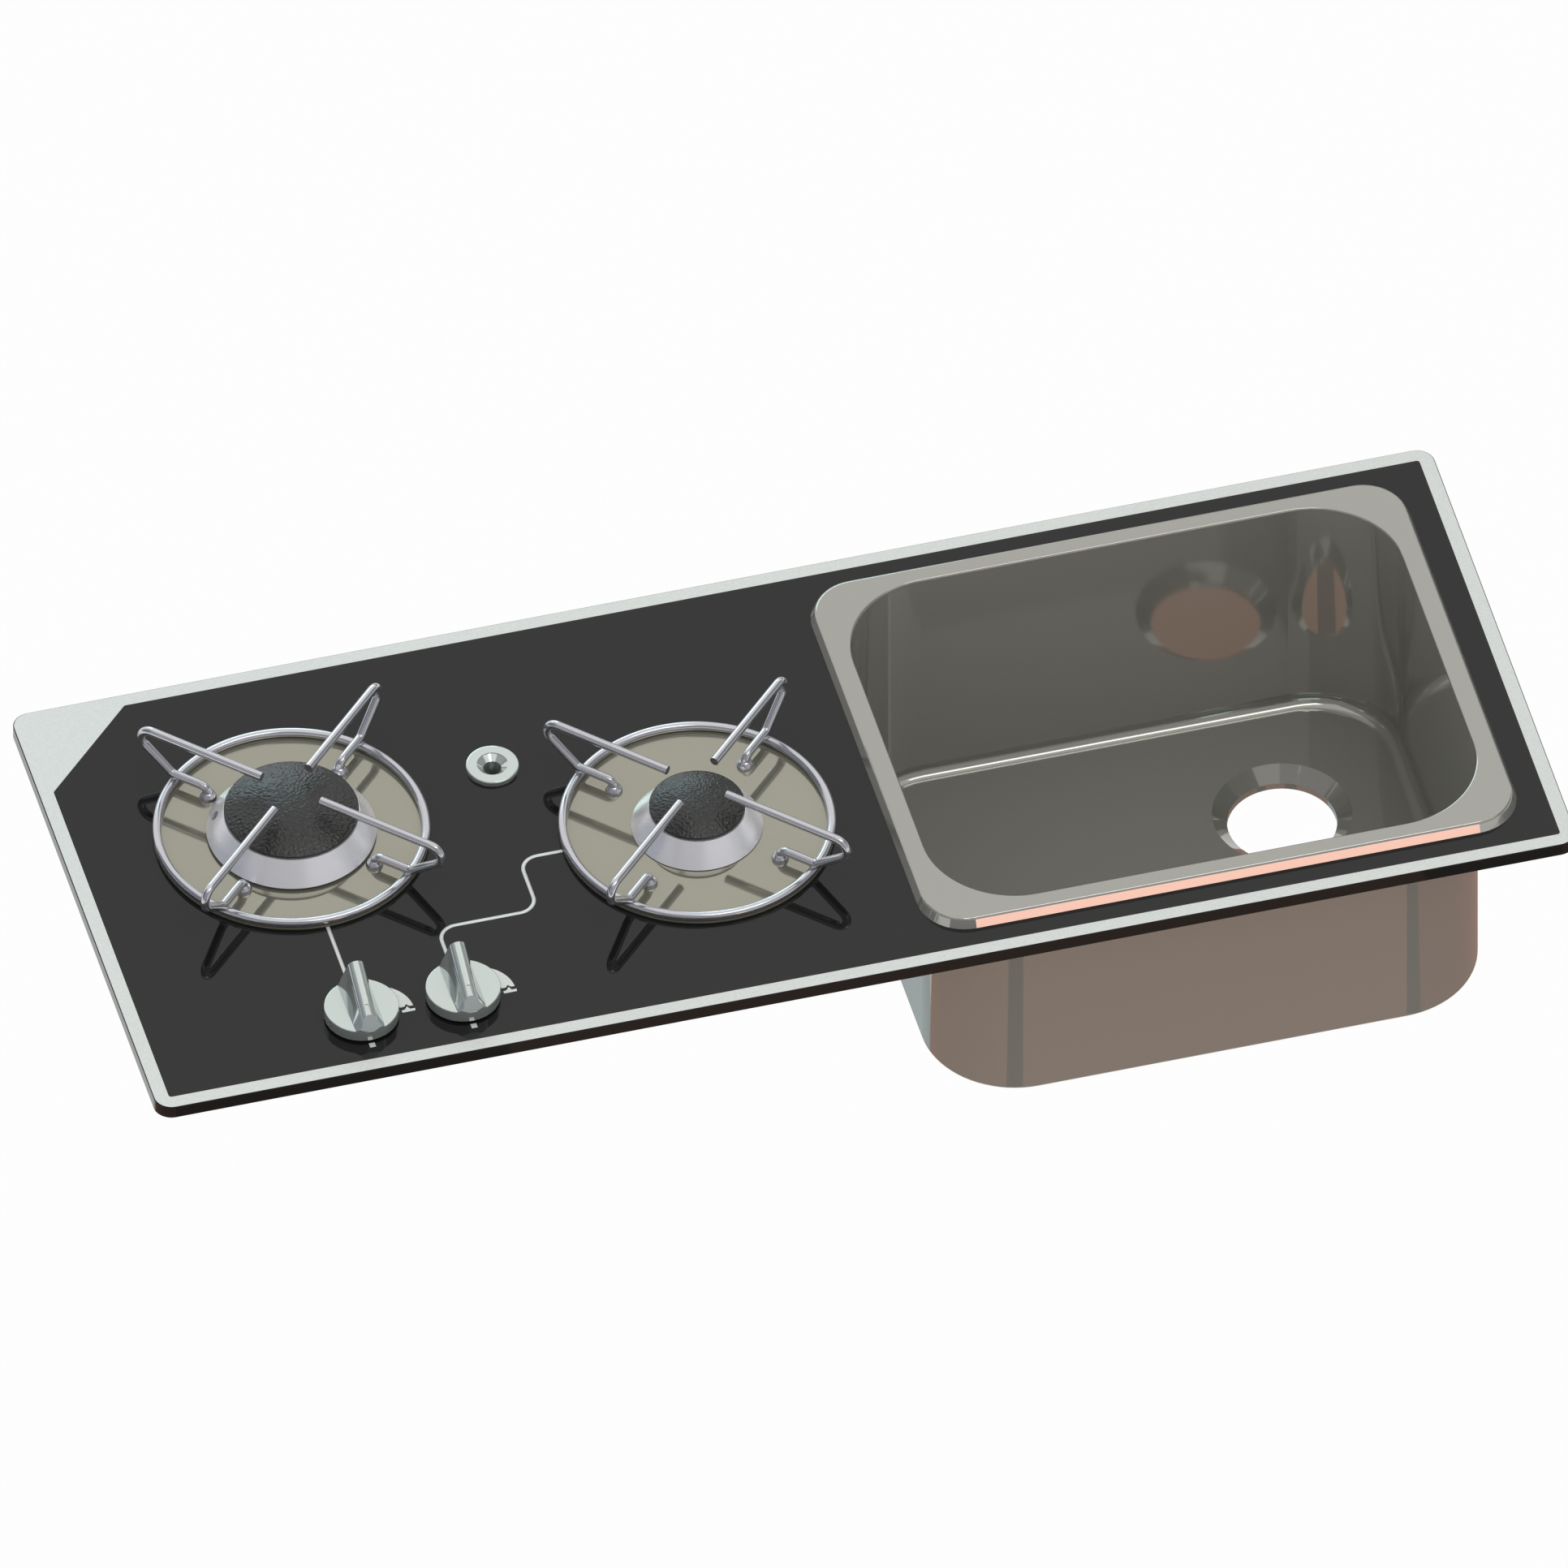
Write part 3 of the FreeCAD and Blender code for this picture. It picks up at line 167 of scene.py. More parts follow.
def polished_steel(name, base, mirror, rough_low, rough_high):
    """Polished sheet with fine lines along X; mirror is the share of light not scattered."""
    material, tree = start_material(name)
    place = add(tree, "ShaderNodeTexCoord")
    along = add(tree, "ShaderNodeMapping", {
        "Vector": place.outputs["Object"], "Scale": (line_stretch, 1.0, 1.0)})
    lines = add(tree, "ShaderNodeTexNoise", {
        "Vector": along.outputs[0], "Scale": grain_scale(line_gap), "Detail": 2.0})
    roughness = add(tree, "ShaderNodeMapRange", {
        "Value": lines.outputs[0], "To Min": rough_low, "To Max": rough_high})
    relief = add(tree, "ShaderNodeBump", {
        "Height": lines.outputs[0], "Strength": lift, "Distance": line_depth * mm})
    shader = add(tree, "ShaderNodeBsdfPrincipled", {
        "Base Color": paint(base), "Metallic": mirror, "Roughness": roughness.outputs[0],
        "Normal": relief.outputs[0]})
    add(tree, "ShaderNodeOutputMaterial", {"Surface": shader.outputs[0]})
    return material


finishes["stainless_steel"] = polished_steel("polished_stainless_steel", "#A9A8A1", 0.6, 0.04, 0.09)
finishes["polished_steel"] = polished_steel("polished_steel_tray", "#A3A192", 0.66, 0.04, 0.08)
print("made", finishes["stainless_steel"].name, finishes["polished_steel"].name)

# %% [markdown]
# ## Bright metals of the hob
# The pan supports are steel wire with a satin nickel plate, the flame spreaders are die-cast
# aluminium turned to a satin face, and the knobs and the bush are satin chrome. All are metals, and
# differ in colour and in how far they blur what they mirror. The grit that blurs is far too fine to
# see, so it is given as roughness, and a slow noise of some millimetres makes that roughness a
# little uneven, as on metal that has been handled. The screws, springs, pipes and brass below the
# plate are made by the same function.

# %% Nickel wire, satin aluminium and satin chrome
def satin_metal(name, base, mirror, rough_low, rough_high, cloud_mm):
    """A metal whose fine grit blurs what it mirrors, in some clouds a little more."""
    material, tree = start_material(name)
    place = add(tree, "ShaderNodeTexCoord")
    clouds = add(tree, "ShaderNodeTexNoise", {
        "Vector": place.outputs["Object"], "Scale": grain_scale(cloud_mm), "Detail": 1.0})
    roughness = add(tree, "ShaderNodeMapRange", {
        "Value": clouds.outputs[0], "To Min": rough_low, "To Max": rough_high})
    shader = add(tree, "ShaderNodeBsdfPrincipled", {
        "Base Color": paint(base), "Metallic": mirror, "Roughness": roughness.outputs[0]})
    add(tree, "ShaderNodeOutputMaterial", {"Surface": shader.outputs[0]})
    return material


bright_metals = {
    "steel_wire": ("nickel_plated_wire", "#C8C8CD", 0.9, 0.12, 0.18, 8.0),
    "aluminium": ("satin_cast_aluminium", "#F0F0F4", 0.6, 0.25, 0.29, 14.0),
    "satin_metal": ("satin_chrome", "#CFD7D3", 0.75, 0.08, 0.12, 9.0),
    "spring_steel": ("spring_steel_wire", "#8E8F92", 0.9, 0.22, 0.34, 5.0),
    "fasteners": ("zinc_plated_screws", "#B9BCC0", 0.9, 0.24, 0.38, 4.0),
    "brass": ("machined_brass", "#C9A255", 0.9, 0.20, 0.32, 6.0),
    "gas_pipe": ("drawn_copper_pipe", "#C07F5A", 0.9, 0.24, 0.36, 12.0),
    "thermocouple_metal": ("drawn_copper_lead", "#B8744F", 0.9, 0.26, 0.38, 10.0)}
for slot_name, values in bright_metals.items():
    finishes[slot_name] = satin_metal(*values)
print("made", len(finishes), "finishes so far")

# %% [markdown]
# ## Zinc sheet
# The burner box, the clamps and the brackets are hot-dip galvanised sheet. Zinc freezes in crystals
# some ten millimetres wide, each with its own tone, which is called spangle. Voronoi cells are a
# good drawing of it: each cell has one random value, which shifts the grey and the roughness of
# that crystal.

# %% Galvanised sheet
crystal_mm = 9
material, tree = start_material("galvanised_sheet")
place = add(tree, "ShaderNodeTexCoord")
crystals = add(tree, "ShaderNodeTexVoronoi", {
    "Vector": place.outputs["Object"], "Scale": grain_scale(crystal_mm)})
tone = add(tree, "ShaderNodeSeparateColor", {"Color": crystals.outputs["Color"]})
shade = add(tree, "ShaderNodeMix", {
    "Factor": tone.outputs[0], first_colour: paint("#8F959A"), second_colour: paint("#B7BCBF")},
    data_type="RGBA")
roughness = add(tree, "ShaderNodeMapRange", {
    "Value": tone.outputs[1], "To Min": 0.28, "To Max": 0.46})
shader = add(tree, "ShaderNodeBsdfPrincipled", {
    "Base Color": shade.outputs[mixed_colour], "Metallic": 1.0, "Roughness": roughness.outputs[0]})
add(tree, "ShaderNodeOutputMaterial", {"Surface": shader.outputs[0]})
finishes["zinc_plate"] = material
print("made", material.name)

# %% [markdown]
# ## Seals
# Under the plate runs a strip of closed-cell foam, and the spindles and the inlet sit in moulded
# rubber. Both are dark and dull. Foam shows its cut cells, under a millimetre wide; rubber shows
# only a fine moulded grain.

# %% Foam strip and moulded rubber
def dull_polymer(name, low, high, cell_mm, depth_mm, rough):
    """A dark polymer with a cellular or moulded grain."""
    material, tree = start_material(name)
    place = add(tree, "ShaderNodeTexCoord")
    cells = add(tree, "ShaderNodeTexVoronoi", {
        "Vector": place.outputs["Object"], "Scale": grain_scale(cell_mm)})
    shade = add(tree, "ShaderNodeMix", {
        "Factor": cells.outputs["Distance"], first_colour: paint(low), second_colour: paint(high)},
        data_type="RGBA")
    relief = add(tree, "ShaderNodeBump", {
        "Height": cells.outputs["Distance"], "Strength": 0.4, "Distance": depth_mm * mm})
    shader = add(tree, "ShaderNodeBsdfPrincipled", {
        "Base Color": shade.outputs[mixed_colour], "Roughness": rough, "Normal": relief.outputs[0]})
    add(tree, "ShaderNodeOutputMaterial", {"Surface": shader.outputs[0]})
    return material


finishes["seal_foam"] = dull_polymer("closed_cell_foam", "#17181A", "#2E3033", 0.8, 0.3, 0.85)
finishes["seal_rubber"] = dull_polymer("moulded_rubber", "#121212", "#222222", 0.5, 0.05, 0.6)
print("made", finishes["seal_foam"].name, finishes["seal_rubber"].name)

# %% [markdown]
# ## Enamel
# The burner caps are pressed steel under a black vitreous enamel with a leather grain. Enamel is
# glass melted onto the steel, so it is a dark dielectric with a soft gloss, and its heavy oxides
# make it mirror a little more than window glass. The grain itself is cut into the mesh further
# down; the material adds only the finest part of it as bump, and small changes of gloss.

# %% Leather-grained black enamel
pit_mm, pit_depth = 0.9, 0.1
material, tree = start_material("black_vitreous_enamel")
place = add(tree, "ShaderNodeTexCoord")
pits = add(tree, "ShaderNodeTexNoise", {
    "Vector": place.outputs["Object"], "Scale": grain_scale(pit_mm), "Detail": 3.0})
roughness = add(tree, "ShaderNodeMapRange", {
    "Value": pits.outputs[0], "To Min": 0.26, "To Max": 0.42})
relief = add(tree, "ShaderNodeBump", {
    "Height": pits.outputs[0], "Strength": 0.8, "Distance": pit_depth * mm})
shader = add(tree, "ShaderNodeBsdfPrincipled", {
    "Base Color": paint("#1A1815"), "Roughness": roughness.outputs[0], "IOR": 1.58,
    "Normal": relief.outputs[0]})
add(tree, "ShaderNodeOutputMaterial", {"Surface": shader.outputs[0]})
finishes["black_enamel"] = material
print("made", material.name)

# %% [markdown]
# ## Dress the solids
# Every solid of the frame carries the name of its finish as its material. Giving each slot the
# procedural material of that name dresses all of them in one loop, and the meshes stay as they are.

# %% Give each solid its finish
for part in nodes.values():
    for slot in part.material_slots:
        slot.material = finishes[slot.material.name.split(".")[0]]
print("dressed", len(nodes), "solids")

# %% [markdown]
# ## Silver print
# Border, corner and marks are screen printed on the glass in silver ink and fired. The ink is a
# paint with tiny metal flakes under a thin clear glaze: pale, slightly sparkling, and as glossy as
# the glass round it. It is a real layer, some hundredths of a millimetre thick, so it is made as a
# thin closed plate on the glass.

# %% Fired silver ink
flake_mm = 0.7
material, tree = start_material("fired_silver_ink")
place = add(tree, "ShaderNodeTexCoord")
flakes = add(tree, "ShaderNodeTexVoronoi", {
    "Vector": place.outputs["Object"], "Scale": grain_scale(flake_mm)})
tone = add(tree, "ShaderNodeSeparateColor", {"Color": flakes.outputs["Color"]})
shade = add(tree, "ShaderNodeMix", {
    "Factor": tone.outputs[0], first_colour: paint("#D4D7D3"), second_colour: paint("#DEE1DC")},
    data_type="RGBA")
shader = add(tree, "ShaderNodeBsdfPrincipled", {
    "Base Color": shade.outputs[mixed_colour], "Metallic": 0.25, "Roughness": 0.42,
    "Coat Weight": 1.0, "Coat Roughness": 0.04, "Coat IOR": 1.47})
add(tree, "ShaderNodeOutputMaterial", {"Surface": shader.outputs[0]})
silver_ink = material
print("made", material.name)

# %% [markdown]
# ## The border and the bare corner
# The border is a ring: its outer line follows the plate, its inner line is the black field, whose
# back left corner is cut off at 45 degrees so that a plain silver triangle is left. A flat curve
# fills between several closed outlines by itself, and its extrude gives the ink its thickness, so
# outlines are all that is needed.

# %% Outlines of the border
glass_low, glass_high = (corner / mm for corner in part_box("glass_top"))
ink_thickness = 0.06
ink_middle = glass_high.z + ink_thickness / 2


def rounded_outline(corners, radius, steps=8):
    """A closed outline in mm whose corners are rounded with one radius."""
    points = []
    for i, corner in enumerate(corners):
        corner = Vector(corner)
        before = (Vector(corners[i - 1]) - corner).normalized()
        after = (Vector(corners[(i + 1) % len(corners)]) - corner).normalized()
        half = before.angle(after) / 2
        reach = radius / math.tan(half)
        centre = corner + (before + after).normalized() * radius / math.sin(half)
        start, end = corner + before * reach - centre, corner + after * reach - centre
        for step in range(steps + 1):
            points.append(centre + start.lerp(end, step / steps).normalized() * radius)
    return points


def plain_mesh(name, source):
    """The plain mesh that a curve or a tree makes of an object, which is then removed."""
    seen = source.evaluated_get(bpy.context.evaluated_depsgraph_get())
    mesh = bpy.data.meshes.new_from_object(seen)
    bpy.data.objects.remove(source)
    mesh.name = name
    return mesh


def ink_piece(name, outlines):
    """A thin plate of ink on the glass from closed outlines in mm."""
    curve = bpy.data.curves.new(name, "CURVE")
    curve.dimensions, curve.fill_mode, curve.extrude = "2D", "BOTH", ink_thickness * mm / 2
    for outline in outlines:
        line = curve.splines.new("POLY")
        line.points.add(len(outline) - 1)
        line.use_cyclic_u = True
        for point, place in zip(line.points, outline):
            point.co = (place[0] * mm, place[1] * mm, 0, 1)
    mesh = plain_mesh(name, placed(name + "_drawn", curve))
    for vertex in mesh.vertices:
        vertex.co.z += ink_middle * mm
    piece = placed(name, mesh)
    mesh.materials.clear()
    mesh.materials.append(silver_ink)
    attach(piece, "base")
    print(name, "faces", len(mesh.polygons))


def plate_sides(gap):
    """The left, right, front and back line of the plate, moved in by a gap."""
    return glass_low.x + gap, glass_high.x - gap, glass_low.y + gap, glass_high.y - gap


edge, border, corner_leg = 0.5, 8.3, 54.4
plate_radius, field_radius = 9.5, 1.8
left, right, front, back = plate_sides(edge)
plate_line = rounded_outline([(left, front), (right, front), (right, back), (left, back)],
                             plate_radius)
left, right, front, back = plate_sides(border)
field_line = rounded_outline([(left, front), (right, front), (right, back),
                              (left + corner_leg, back), (left, back - corner_leg)], field_radius)
ink_piece("border_print", [plate_line, field_line])

# %% [markdown]
# ## Knob marks
# Each knob has a small square in front of it for off, and a crescent on its right that swells from
# small to large flame. The crescent is cut across by the zigzag of a flame sign. Both are drawn as
# outlines about the knob's centre and printed like the border.

# %% Off squares and flame crescents
def knob_centre(side):
    """The plan centre of a knob in mm."""
    low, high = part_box(side + "_knob")
    return ((low + high) / (2 * mm)).xy


def crescent(centre):
    """The two outlines of the flame crescent right of a knob."""
    inner, outer, tip_width, foot_gap = 21.8, 29.3, 0.5, 0.9
    tip, steps = math.radians(66), 16
    angles = [tip * step / steps for step in range(1, steps + 1)]
    upper = [(outer, foot_gap)]
    for angle in angles:
        reach = outer - (outer - inner - tip_width) * (angle / tip) ** 2
        upper.append((reach * math.cos(angle), reach * math.sin(angle)))
    upper += [(inner * math.cos(angle), inner * math.sin(angle)) for angle in reversed(angles)]
    flame_line = [(22.0, 1.0), (24.3, 1.0), (25.7, 2.7), (27.2, 1.0)]
    foot = [(22.3, -3.2), (29.5, -3.1), (29.7, -1.3), (27.0, -1.3), (25.8, 1.1), (24.3, -1.0),
            (22.1, -1.6)]
    return [[(centre.x + x, centre.y + y) for x, y in outline]
            for outline in (upper + flame_line, foot)]


off_size, off_gap = 3.3, 22.9
for side in ("left", "right"):
    centre = knob_centre(side)
    x, y, half = centre.x, centre.y - off_gap, off_size / 2
    square = [(x + across * half, y + along * half)
              for across, along in ((-1, -1), (1, -1), (1, 1), (-1, 1))]
    ink_piece(side + "_knob_marks", [square] + crescent(centre))

# %% [markdown]
# ## Lines from knob to burner
# A thin silver line leads from each knob to the burner it feeds; the right one turns four soft
# corners on its way. A line of one width along a path is a job for Geometry Nodes: the tree turns a
# path's edges to a curve, rounds its corners, and sweeps a flat strip along it. Width, corner
# radius and thickness are its inputs.

# %% The line tree
def new_tree(name, inputs):
    """A geometry tree with named inputs, their identifiers, and the sockets they come in by."""
    tree = bpy.data.node_groups.new(name, "GeometryNodeTree")
    tree.interface.new_socket("Geometry", in_out="INPUT", socket_type="NodeSocketGeometry")
    tree.interface.new_socket("Geometry", in_out="OUTPUT", socket_type="NodeSocketGeometry")
    keys = {label: tree.interface.new_socket(label, in_out="INPUT", socket_type=kind).identifier
            for label, kind in inputs.items()}
    return tree, keys, add(tree, "NodeGroupInput").outputs


def grown(name, mesh, tree, keys, values):
    """The plain mesh object that a tree makes from a mesh with these input values."""
    seed = placed(name + "_seed", mesh)
    modifier = seed.modifiers.new("grow", "NODES")
    modifier.node_group = tree
    for label, value in values.items():
        modifier[keys[label]] = value
    return placed(name, plain_mesh(name, seed))


line_tree, line_keys, given = new_tree("printed_line", {
    "Width": "NodeSocketFloat", "Thickness": "NodeSocketFloat", "Corner radius": "NodeSocketFloat"})
path = add(line_tree, "GeometryNodeMeshToCurve", {0: given["Geometry"]})
soft = add(line_tree, "GeometryNodeFilletCurve", {
    "Curve": path.outputs[0], "Radius": given["Corner radius"], "Count": 10, "Limit Radius": True},
    mode="POLY")
level_curve = add(line_tree, "GeometryNodeSetCurveNormal", {"Curve": soft.outputs[0]}, mode="Z_UP")
strip = add(line_tree, "GeometryNodeCurvePrimitiveQuadrilateral", {
    "Width": given["Width"], "Height": given["Thickness"]})
swept = add(line_tree, "GeometryNodeCurveToMesh", {
    "Curve": level_curve.outputs[0], "Profile Curve": strip.outputs[0], "Fill Caps": True})
whole = add(line_tree, "GeometryNodeRealizeInstances", {"Geometry": swept.outputs[0]})
inked = add(line_tree, "GeometryNodeSetMaterial", {
    "Geometry": whole.outputs[0], "Material": silver_ink})
add(line_tree, "NodeGroupOutput", {0: inked.outputs[0]})
print("tree", line_tree.name, list(line_keys))

# %% [markdown]
# ### The two paths
# The left line runs straight to its tray. The right one starts at its knob, turns along the plate
# and ends at the side of its tray. The ends come from the solids' boxes, so that the lines meet
# what they join.

# %% Print the two lines
def path_mesh(name, points, level):
    """A mesh of edges through plan points in mm at one level."""
    mesh = bpy.data.meshes.new(name)
    mesh.from_pydata([(x * mm, y * mm, level * mm) for x, y in points],
                     [(i, i + 1) for i in range(len(points) - 1)], [])
    return mesh


line_width, line_corner = 2.1, 10.0
line_start, tray_gap = 12.0, 0.3
turn_x, turn_y = -160.5, -61.0
left_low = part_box("left_spill_tray")[0] / mm
right_low, right_high = (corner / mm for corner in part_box("right_spill_tray"))
left_knob, right_knob = knob_centre("left"), knob_centre("right")
right_middle = (right_low.y + right_high.y) / 2
line_paths = {
    "left": [(left_knob.x, left_knob.y + line_start), (left_knob.x, left_low.y - tray_gap)],
    "right": [(right_knob.x, right_knob.y + line_start), (right_knob.x, turn_y), (turn_x, turn_y),
              (turn_x, right_middle), (right_low.x - tray_gap, right_middle)]}
for side, points in line_paths.items():
    seed = path_mesh(side + "_path", points, ink_middle)
    piece = grown(side + "_burner_line", seed, line_tree, line_keys, {
        "Width": line_width * mm, "Thickness": ink_thickness * mm,
        "Corner radius": line_corner * mm})
    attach(piece, "base")
    low, high = Vector(piece.bound_box[0]), Vector(piece.bound_box[6])
    print(piece.name, "size mm", [round(x / mm, 2) for x in high - low])

# %% [markdown]
# ## Grained caps
# A cap's leather grain is relief, not colour: it breaks the highlight into small glints. Bump alone
# would leave its outline smooth, so the cap is made again as a fine turned shape over the solid's
# own profile, and a tree dents its dome with a noise, by a few tenths of a millimetre, mostly
# inwards so that it stays in the solid's size. The lip below stays smooth to seat well.

# %% The grain tree
flush_noise = 0.6
grain_tree, grain_keys, given = new_tree("leather_grain", {
    "Grain size": "NodeSocketFloat", "Depth": "NodeSocketFloat", "Dome level": "NodeSocketFloat"})
where = add(grain_tree, "GeometryNodeInputPosition")
outward = add(grain_tree, "GeometryNodeInputNormal")
fineness = add(grain_tree, "ShaderNodeMath", {0: 1.0, 1: given["Grain size"]}, operation="DIVIDE")
noise = add(grain_tree, "ShaderNodeTexNoise", {
    "Vector": where.outputs[0], "Scale": fineness.outputs[0], "Detail": 2.0, "Roughness": 0.6})
centred = add(grain_tree, "ShaderNodeMath", {0: noise.outputs[0], 1: flush_noise},
              operation="SUBTRACT")
push = add(grain_tree, "ShaderNodeMath", {0: centred.outputs[0], 1: given["Depth"]},
           operation="MULTIPLY")
offset = add(grain_tree, "ShaderNodeVectorMath", {0: outward.outputs[0], "Scale": push.outputs[0]},
             operation="SCALE")
height = add(grain_tree, "ShaderNodeSeparateXYZ", {0: where.outputs[0]})
on_dome = add(grain_tree, "FunctionNodeCompare", {0: height.outputs["Z"], 1: given["Dome level"]},
              operation="GREATER_THAN")
moved = add(grain_tree, "GeometryNodeSetPosition", {
    "Geometry": given["Geometry"], "Offset": offset.outputs[0], "Selection": on_dome.outputs[0]})
smooth = add(grain_tree, "GeometryNodeSetShadeSmooth", {"Geometry": moved.outputs[0]})
whole = add(grain_tree, "GeometryNodeRealizeInstances", {"Geometry": smooth.outputs[0]})
glazed = add(grain_tree, "GeometryNodeSetMaterial", {
    "Geometry": whole.outputs[0], "Material": finishes["black_enamel"]})
add(grain_tree, "NodeGroupOutput", {0: glazed.outputs[0]})
print("tree", grain_tree.name, list(grain_keys))

# %% [markdown]
# ### Two turned caps
# A turned shape is rings of points about an upright axis, joined by faces. The rows of the dome lie
# close, because each dent of the grain needs several points, and the profile goes on under the lip
# and back to the axis, so that the cap is closed.

# %% Turn the two caps
cap_edge, lip_depth, lip_wall = 1.4, 3.0, 2.5
cup_inset, cup_clearance, lip_clearance = 8.0, 0.3, 0.5
grain_size, grain_depth, smooth_edge = 1.5, 1.3, 0.05
segments, dome_rows = 440, {"left": 100, "right": 72}


def turned_mesh(name, centre, profile):
    """A closed mesh turned from (radius, level) points in mm, first and last on the axis."""
    work = bmesh.new()
    rings = []
    for radius, level in profile:
        count = 1 if radius == 0 else segments
        angles = [2 * math.pi * i / count for i in range(count)]
        rings.append([work.verts.new(((centre.x + radius * math.cos(angle)) * mm,
                                      (centre.y + radius * math.sin(angle)) * mm,
                                      level * mm)) for angle in angles])
    for inner, outer in zip(rings, rings[1:]):
        for i in range(segments):
            corners = [inner[i % len(inner)], outer[i % len(outer)], outer[(i + 1) % len(outer)],
                       inner[(i + 1) % len(inner)]]
            work.faces.new(list(dict.fromkeys(corners)))
    bmesh.ops.recalc_face_normals(work, faces=work.faces)
    mesh = bpy.data.meshes.new(name)
    work.to_mesh(mesh)
    work.free()
    return mesh


for side, rows in dome_rows.items():
    low, high = (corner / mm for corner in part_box(side + "_burner_cap"))
    centre, radius = (low + high) / 2, (high.x - low.x) / 2
    under, top = low.z + lip_depth, high.z
    dome = top - under - cap_edge
    lip = radius - cup_inset + cup_clearance - lip_clearance
    sphere = (radius ** 2 + dome ** 2) / (2 * dome)
    profile = [(0, top)]
    for row in range(1, rows + 1):
        reach = radius * row / rows
        profile.append((reach, top - sphere + math.sqrt(sphere ** 2 - reach ** 2)))
    profile += [(radius, under), (lip, under), (lip, low.z), (lip - lip_wall, low.z),
                (lip - lip_wall, under), (0, under)]
    seed = turned_mesh(side + "_cap", centre, profile)
    piece = grown(side + "_grained_cap", seed, grain_tree, grain_keys, {
        "Grain size": grain_size * mm, "Depth": grain_depth * mm,
        "Dome level": (under + cap_edge + smooth_edge) * mm})
    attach(piece, side + "_burner_cap")
    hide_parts(side + "_burner_cap")
    print(piece.name, "faces", len(piece.data.polygons))

# %% [markdown]
# ## Weld beads
# Each pan support is a ring with four bent wires resistance-welded across it. Where two wires
# cross, a little metal is squeezed out and stays as a flat bead. Beads repeat, so a tree sets one
# drop on each crossing and varies its size with a fixed seed; the crossings come in as the points
# of a mesh.

# %% Beads where the wires cross
bead_tree, bead_keys, given = new_tree("weld_beads", {
    "Bead radius": "NodeSocketFloat", "Seed": "NodeSocketInt"})
flattest, fullest = (0.85, 0.85, 0.60), (1.1, 1.1, 0.75)
drop = add(bead_tree, "GeometryNodeMeshIcoSphere", {
    "Radius": given["Bead radius"], "Subdivisions": 3})
spread = add(bead_tree, "FunctionNodeRandomValue", {0: flattest, 1: fullest, "Seed": given["Seed"]},
             data_type="FLOAT_VECTOR")
beads = add(bead_tree, "GeometryNodeInstanceOnPoints", {
    "Points": given["Geometry"], "Instance": drop.outputs[0], "Scale": spread.outputs[0]})
whole = add(bead_tree, "GeometryNodeRealizeInstances", {"Geometry": beads.outputs[0]})
smooth = add(bead_tree, "GeometryNodeSetShadeSmooth", {"Geometry": whole.outputs[0]})
plated = add(bead_tree, "GeometryNodeSetMaterial", {
    "Geometry": smooth.outputs[0], "Material": finishes["steel_wire"]})
add(bead_tree, "NodeGroupOutput", {0: plated.outputs[0]})

ring_radius, bead_rise, bead_radius = 73.2, 4.7, 2.7
bead_seeds = {"left": 4, "right": 5}
crossing_turns = [math.radians(degrees) for degrees in (45, 135, 225, 315)]
for side, bead_seed in bead_seeds.items():
    low, high = (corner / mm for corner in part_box(side + "_spill_tray"))
    centre, level = (low + high) / 2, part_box(side + "_pan_support")[0].z / mm + bead_rise
    crossings = [(centre.x + ring_radius * math.cos(angle),
                  centre.y + ring_radius * math.sin(angle)) for angle in crossing_turns]
    seed = path_mesh(side + "_crossings", crossings, level)
    piece = grown(side + "_weld_beads", seed, bead_tree, bead_keys, {
        "Bead radius": bead_radius * mm, "Seed": bead_seed})
    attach(piece, side + "_pan_support")
    print(piece.name, "faces", len(piece.data.polygons))

# %% [markdown]
# ## Knob springs
# A spring lies under each knob and grows shorter when the knob is pushed in. A copy of its solid
# takes its place with a mesh of its own, and the solid is hidden; the copy is not squashed here.
# The copy has the spring's place in its mesh, so it stands at the origin like every other piece.

# %% Copies of the springs
for side in ("left", "right"):
    stiff = nodes[side + "_knob_spring"]
    low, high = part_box(side + "_knob_spring")
    mesh = stiff.data.copy()
    mesh.transform(stiff.matrix_world)
    piece = placed(side + "_soft_spring", mesh)
    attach(piece, "base")
    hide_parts(side + "_knob_spring")
    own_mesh(piece)

# %% [markdown]
# ## The studio
# The picture has a plain white ground and soft light from all sides. The world is white wherever
# the camera or a mirror looks, and a little dimmer for the light that it sheds, so that pale faces
# keep their tone. The floor lies at its real distance below a worktop, 0.9 m, so the unit's shadow
# falls soft and far below.

# %% World and floor
shed_light, white_share = 0.78, 0.95
floor_level, floor_half = -0.9, 12.0


def looked_at(tree):
    """One where the camera, a mirror or a clear body looks, and zero for the light that is shed."""
    ray = add(tree, "ShaderNodeLightPath")
    share = ray.outputs["Is Camera Ray"]
    for kind in ("Is Glossy Ray", "Is Transmission Ray"):
        share = add(tree, "ShaderNodeMath", {0: share, 1: ray.outputs[kind]},
                    operation="MAXIMUM").outputs[0]
    return share


def sheet(name, corners, material):
    """A flat sheet with four corners in metres."""
    mesh = bpy.data.meshes.new(name)
    mesh.from_pydata(corners, [], [(0, 1, 2, 3)])
    mesh.materials.append(material)
    return placed(name, mesh)


def lying(x_low, x_high, y_low, y_high, level):
    """The corners of a sheet that lies flat."""
    return [(x_low, y_low, level), (x_high, y_low, level),
            (x_high, y_high, level), (x_low, y_high, level)]


